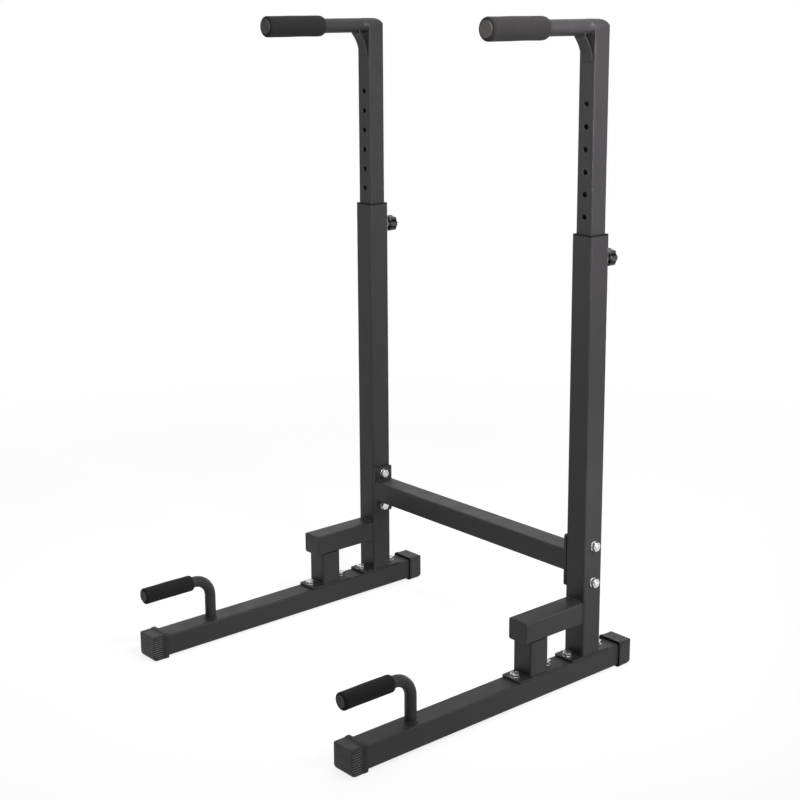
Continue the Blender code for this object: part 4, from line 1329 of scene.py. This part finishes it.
        hub = circle(self.stem_bore, count)
        inner = circle(self.recess, count)
        floor = start + self.recess_depth
        stem_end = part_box(f"pull_pin_{side}")[1].y + self.gap
        stack = [(hub, stem_end), (hub, floor), (inner, floor), (inner, start)]
        # The hub and the recess get full painted shade
        wear = [SHADING_SPAN[1]] * len(stack)
        skirt, edge = self.knob_skirt, self.knob_edge
        for inward, along in quarter_round(self.skirt_steps):
            stack.append((outline(skirt * inward), start + skirt * along))
        for inward, along in reversed(quarter_round(self.edge_steps)):
            stack.append((outline(edge * inward), end - edge * along))
        for inward, faded, depth in self.knob_face:
            stack.append((outline(edge + inward, faded), end - depth))
        # The lobes' crests get a painted highlight and their valleys painted shade; the last two rows
        # of the face are plain
        lobe_shading = [2 * share - 1 for share in valley]
        wear += [lobe_shading] * (len(stack) - len(wear) - 2) + [0.0] * 2
        stack_piece(f"lobed_knob_{side}", solid, "y", stack, "gloss", wear=wear)


class DIPSTAND_OT_bolts(PieceOperator, bpy.types.Operator):
    """Build the hexagon bolts with their washers and nuts"""

    bl_idname = "dipstand.bolts"
    bl_label = "Bolts"

    foot_bolts = 4
    shank = 0.005
    flats = 0.017
    corner_cut = 0.0004
    chamfer_slope = 0.58
    washer = 0.010
    washer_thickness = 0.002
    washer_edge = 0.0003
    head = 0.0064
    nut = 0.008
    tip = 0.003
    thread = 0.0015
    thread_depth = 0.0007
    thread_out = 0.0005
    washer_sides = 40
    shank_sides = 32
    # Painted shade at a head's plain end, where it meets its washer
    painted_shade = 0.85

    # The dished end of a head or nut: radius, depth and painted shading, with painted shade on the
    # middle ring of the dish
    dish = ((0.0062, 0.0, 0.0), (0.0053, 0.0006, 0.95), (0.0044, 0.0006, 0.0))

    def hexagon_body(self, shape, ends, axis, place, chamfer_low, chamfer_high):
        """A hexagon with its corners turned off round at the chosen ends, which are dished."""
        low, high = sorted(ends)
        outline = hexagon(self.flats)
        corner = self.flats / 2 - self.corner_cut

        def end(at, way, dished):
            # A plain end gets painted shade
            if not dished:
                return [(outline, at, self.painted_shade)]
            found = chamfered(outline, corner, self.chamfer_slope, at, way)
            found = [(points, along, 0.0) for points, along in found]
            for radius, depth, wear in self.dish:
                found.append((on_circle(outline, radius), at + way * depth, wear))
            return found

        rows = end(low, 1, chamfer_low)[::-1] + end(high, -1, chamfer_high)
        stack = [(points, along) for points, along, _ in rows]
        stacked(shape, stack, axis, place, wear=[wear for _, _, wear in rows])

    def disc(self, shape, ends, axis, place):
        """A washer."""
        low, high = sorted(ends)
        rim, edge = self.washer, self.washer_edge
        profile = [(rim - edge, low), (rim, low + edge), (rim, high - edge), (rim - edge, high)]
        turned(shape, profile, axis, place, self.washer_sides)

    def bolt(self, solid, axis, way, nut_washer):
        """A bolt with its washers and nut. way is the direction of its head along the axis."""
        along = "xyz".index(axis)
        head_end, tip_end = (corner[along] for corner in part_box(solid)[::-way])
        place = centre_line(solid, axis)
        top = head_end - way * self.head
        nut_end = tip_end + way * self.tip
        nut_start = nut_end + way * self.nut
        shape = bmesh.new()
        self.disc(shape, (top - way * self.washer_thickness, top), axis, place)
        self.hexagon_body(shape, (top, head_end), axis, place, way < 0, way > 0)
        if nut_washer:
            self.disc(shape, (nut_start, nut_start + way * self.washer_thickness), axis, place)
        self.hexagon_body(shape, (nut_start, nut_end), axis, place, True, True)
        root = self.shank - self.thread_depth
        profile = [(self.shank, top), (self.shank, nut_end + way * self.thread_out)]
        for i in range(round(self.tip / self.thread)):
            at = nut_end - way * i * self.thread
            profile += [(root, at), (self.shank, at - way * self.thread / 2)]
        profile += [(root, tip_end + way * self.thread_depth), (root - self.thread_depth, tip_end)]
        turned(shape, profile, axis, place, self.shank_sides)
        new_piece(f"plated_{solid}", shape, "zinc", solid)

    def build(self, sizes, side):
        for number in range(1, self.foot_bolts + 1):
            self.bolt(f"foot_bolt_{side}_{number}", "z", 1, False)
        for level in LEVELS:
            self.bolt(f"crossbar_bolt_{side}_{level}", "x", -SIDES[side], True)


class DIPSTAND_OT_welds(PieceOperator, bpy.types.Operator):
    """Build the painted weld beads between the tubes"""

    bl_idname = "dipstand.welds"
    bl_label = "Weld Beads"

    inset = 0.0045
    gusset_inset = 0.002
    under_bar = (212, 328, 24)

    # Shares of a bead: how far its middle lies out of its corner, and how thick a thin one is
    frame_out = 0.25
    arm_out = 0.2
    arm_side = 0.8
    bar_root = 0.7
    gusset_tip = 0.5

    def build(self, sizes, side):
        self.frame_beads(sizes, side)
        self.arm_beads(sizes, side)

    def frame_beads(self, sizes, side):
        """Beads round the feet of sleeve and step post, at the step arm and the crossbar."""
        bead, inset = sizes.bead, self.inset
        out = bead * self.frame_out
        shape = bmesh.new()

        def along_x(box, y, z):
            """A bead across a tube's flat face, between its round corners."""
            run = [(box[0].x + inset, y, z), (box[1].x - inset, y, z)]
            weld(shape, run, (0, 0, 1), bead, sizes.ripple)

        for post, plate in (("upright_sleeve", "upright_plate"), ("step_post", "step_plate")):
            low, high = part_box(f"{post}_{side}")
            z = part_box(f"{plate}_{side}")[1].z + out
            along_x((low, high), low.y - out, z)
            along_x((low, high), high.y + out, z)
        low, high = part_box(f"step_arm_{side}")
        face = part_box(f"upright_sleeve_{side}")[0].y - out
        along_x((low, high), face, high.z + out)
        for x in (low.x, high.x):
            run = [(x, face, low.z + inset), (x, face, high.z - inset)]
            weld(shape, run, (0, 1, 0), bead * self.arm_side, sizes.ripple)
        along_x((low, high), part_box(f"step_post_{side}")[1].y + out, low.z)
        low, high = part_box("crossbar")
        plate_low, plate_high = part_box(f"crossbar_plate_{side}")
        x = plate_low.x - out if SIDES[side] > 0 else plate_high.x + out
        for z in (low.z - out, high.z + out):
            run = [(x, low.y + inset, z), (x, high.y - inset, z)]
            weld(shape, run, (1, 0, 0), bead, sizes.ripple)
        new_piece(f"frame_welds_{side}", shape, "steel", body="frame")

    def arm_beads(self, sizes, side):
        """Beads under the dip bar's root, at the gusset's foot and at the gusset's tip."""
        bead, inset = sizes.bead, self.gusset_inset
        out = bead * self.arm_out
        bar = f"dip_bar_{side}"
        bar_low, bar_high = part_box(bar)
        middle = middle_of(bar)
        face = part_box(f"inner_tube_{side}")[0].y - out
        low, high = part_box(f"dip_gusset_{side}")
        under = arc((middle.x, middle.z), (bar_high.z - bar_low.z) / 2, *self.under_bar)
        root = [(x, face, z) for x, z in under]
        foot = [(low.x + inset, face, low.z), (high.x - inset, face, low.z)]
        tip = [(x, low.y + out, z) for x, z in under]
        shape = bmesh.new()
        for path, share in ((root, self.bar_root), (foot, self.bar_root), (tip, self.gusset_tip)):
            weld(shape, path, (0, 1, 0), bead * share, sizes.ripple)
        new_piece(f"dip_arm_welds_{side}", shape, "steel", body=f"dip_arm_{side}")


# Each lamp's place, the place it points at, its width and height, its spread in degrees and its
# colour
LAMPS = {
    "key": ((1.15, 0.50, 1.10), (0.30, 0.20, 1.05), (0.4, 1.5), 100, "fbf5ff"),
    "fill": ((0.8, -1.8, 2.1), (0.2, 0.1, 1.3), (1.2, 1.0), 70, "fff9ec"),
    "upper": ((1.05, -0.05, 1.75), (0.33, 0.10, 1.25), (0.5, 0.5), 90, "fbf5ff"),
    "low": ((0.82, 0.26, 0.50), (0.35, 0.20, 0.30), (0.2, 0.3), 50, "fbf5ff"),
    "front": ((1.55, -2.1, 1.25), (0.3, 0.2, 1.2), (0.3, 0.5), 40, "ffffff"),
    "rear": ((-0.4, 2.6, 0.5), (0.0, 0.2, 0.7), (0.8, 0.8), 60, "ffffff"),
    "top": ((0.0, 0.2, 3.4), (0.0, 0.0, 0.0), (2.6, 2.6), 180, "ffffff"),
}


class DIPSTAND_OT_studio(bpy.types.Operator):
    """Build the floor, the lamps, the room light and the camera"""

    bl_idname = "dipstand.studio"
    bl_label = "Studio"
    bl_options = {"REGISTER", "UNDO"}

    floor_half = 6.0
    floor_cells = 24
    fade_start = 1.3
    fade_end = 2.6
    floor_drop = 0.0005
    floor_share = 0.36
    floor_glow = 0.83
    viewpoint = (2.2656, -1.9008, 1.3268)
    yaw = 49.239
    pitch = 12.204
    roll = -0.310
    sensor = 36.0
    lens = 68.61
    shift = -0.08

    def seen_directly(self, tree):
        """1 where a ray comes from the camera, or mirrors or passes through something."""
        path = add(tree, "LightPath")
        mirrored = {0: path.outputs["Is Glossy Ray"], 1: path.outputs["Is Transmission Ray"]}
        either = add(tree, "Math", mirrored, operation="MAXIMUM")
        any_of = {0: path.outputs["Is Camera Ray"], 1: either.outputs[0]}
        return add(tree, "Math", any_of, operation="MAXIMUM").outputs[0]

    def paper(self, studio):
        """Matt paper. It lights the stand with its own shade, but is seen as a bright sheet with
        the stand's soft shadow, which fades to white far from the stand."""
        material, tree, place = begin_material("paper_matt")
        grain = add(tree, "TexNoise", {"Vector": place, "Scale": per_metre(6.0), "Detail": 3.0})
        shade = shades(tree, grain.outputs[0], studio.floor, 0.01, (0.0, 1.0))
        lit = add(tree, "BsdfDiffuse", {"Color": shade})
        faint = add(tree, "BsdfDiffuse", {"Color": (*([self.floor_share] * 3), 1.0)})
        glow = add(tree, "Emission", {"Color": WHITE, "Strength": self.floor_glow})
        shown = add(tree, "AddShader", {0: faint.outputs[0], 1: glow.outputs[0]})
        away = add(tree, "VectorMath", {0: place}, operation="LENGTH").outputs["Value"]
        ends = mapped(away, (self.fade_start, self.fade_end), 0.0, 1.0)
        fade = add(tree, "MapRange", ends, interpolation_type="SMOOTHSTEP").outputs[0]
        white = add(tree, "Emission", {"Color": WHITE, "Strength": 1.0})
        faded = add(tree, "MixShader", {0: fade, 1: shown.outputs[0], 2: white.outputs[0]})
        seen = self.seen_directly(tree)
        both = add(tree, "MixShader", {0: seen, 1: lit.outputs[0], 2: faded.outputs[0]})
        add(tree, "OutputMaterial", {"Surface": both.outputs[0]})
        return material

    def floor(self, studio):
        """A seamless paper floor."""
        shape = bmesh.new()
        cells = self.floor_cells
        bmesh.ops.create_grid(shape, x_segments=cells, y_segments=cells, size=self.floor_half)
        floor = to_object("paper_floor", shape)
        floor.location.z = -self.floor_drop
        floor.data.materials.append(self.paper(studio))

    def room(self, studio):
        """Dim white light from all around, in a room that is seen as plain white."""
        world = bpy.data.worlds.new("white_room")
        bpy.context.scene.world = world
        world.use_nodes = True
        tree = world.node_tree
        tree.nodes.clear()
        dim = add(tree, "Background", {"Color": WHITE, "Strength": studio.ambient})
        white = add(tree, "Background", {"Color": WHITE, "Strength": 1.0})
        seen = self.seen_directly(tree)
        both = add(tree, "MixShader", {0: seen, 1: dim.outputs[0], 2: white.outputs[0]})
        add(tree, "OutputWorld", {"Surface": both.outputs[0]})

    def lamp(self, name, power, place, target, size, spread, colour):
        """A softbox. A narrow spread is a grid in front of it, which keeps its light off the
        floor."""
        lamp = bpy.data.lights.new(name, "AREA")
        lamp.shape = "RECTANGLE"
        lamp.size, lamp.size_y = size
        lamp.spread = math.radians(spread)
        lamp.energy = power
        lamp.color = linear(colour)
        holder = bpy.data.objects.new(name, lamp)
        holder.location = place
        ahead = Vector(target) - Vector(place)
        holder.rotation_euler = ahead.to_track_quat("-Z", "Y").to_euler()
        holder.visible_camera = False
        bpy.context.scene.collection.objects.link(holder)

    def camera(self):
        """The photograph's place and angle, found by fitting the corners of the tubes."""
        lens = bpy.data.cameras.new("camera")
        lens.sensor_width = self.sensor
        lens.lens = self.lens
        lens.shift_y = self.shift
        camera = bpy.data.objects.new("camera", lens)
        turn = Matrix.Rotation(math.radians(self.yaw), 4, "Z")
        tilt = Matrix.Rotation(math.radians(90.0 - self.pitch), 4, "X")
        roll = Matrix.Rotation(math.radians(self.roll), 4, "Z")
        camera.matrix_world = Matrix.Translation(self.viewpoint) @ turn @ tilt @ roll
        bpy.context.scene.collection.objects.link(camera)
        bpy.context.scene.camera = camera

    def execute(self, context):
        studio = context.scene.dip_stand_studio
        self.floor(studio)
        self.room(studio)
        for name, facts in LAMPS.items():
            self.lamp(f"{name}_lamp", getattr(studio, name), *facts)
        self.camera()
        context.scene.view_settings.view_transform = "Standard"
        return {"FINISHED"}


PIECE_OPERATORS = (
    DIPSTAND_OT_base_beams,
    DIPSTAND_OT_end_caps,
    DIPSTAND_OT_sleeves,
    DIPSTAND_OT_plates,
    DIPSTAND_OT_step_brackets,
    DIPSTAND_OT_crossbar,
    DIPSTAND_OT_inner_tubes,
    DIPSTAND_OT_guides,
    DIPSTAND_OT_dip_bars,
    DIPSTAND_OT_push_up_handles,
    DIPSTAND_OT_foam_grips,
    DIPSTAND_OT_end_plugs,
    DIPSTAND_OT_pull_pins,
    DIPSTAND_OT_bolts,
    DIPSTAND_OT_welds,
)
OPERATORS = (*PIECE_OPERATORS, DIPSTAND_OT_studio)


class DIPSTAND_PT_panel(bpy.types.Panel):
    """Lists the sizes, the colours and the operators"""

    bl_label = "Dip Stand"
    bl_idname = "DIPSTAND_PT_panel"
    bl_space_type = "VIEW_3D"
    bl_region_type = "UI"
    bl_category = "Dip Stand"

    def draw(self, context):
        scene = context.scene
        for group in (scene.dip_stand_sizes, scene.dip_stand_colours, scene.dip_stand_studio):
            box = self.layout.box()
            for name in group.bl_rna.properties.keys():
                if name not in ("rna_type", "name"):
                    box.prop(group, name)
        for operator in OPERATORS:
            self.layout.operator(operator.bl_idname)


GROUPS = {
    "dip_stand_sizes": DipStandSizes,
    "dip_stand_colours": DipStandColours,
    "dip_stand_studio": DipStandStudio,
}
CLASSES = (*GROUPS.values(), *OPERATORS, DIPSTAND_PT_panel)


def register():
    for item in CLASSES:
        bpy.utils.register_class(item)
    for name, group in GROUPS.items():
        setattr(bpy.types.Scene, name, bpy.props.PointerProperty(type=group))


def unregister():
    for name in GROUPS:
        delattr(bpy.types.Scene, name)
    for item in reversed(CLASSES):
        bpy.utils.unregister_class(item)


def main():
    register()
    for operator in OPERATORS:
        family, name = operator.bl_idname.split(".")
        getattr(getattr(bpy.ops, family), name)()


if __name__ == "__main__":
    main()
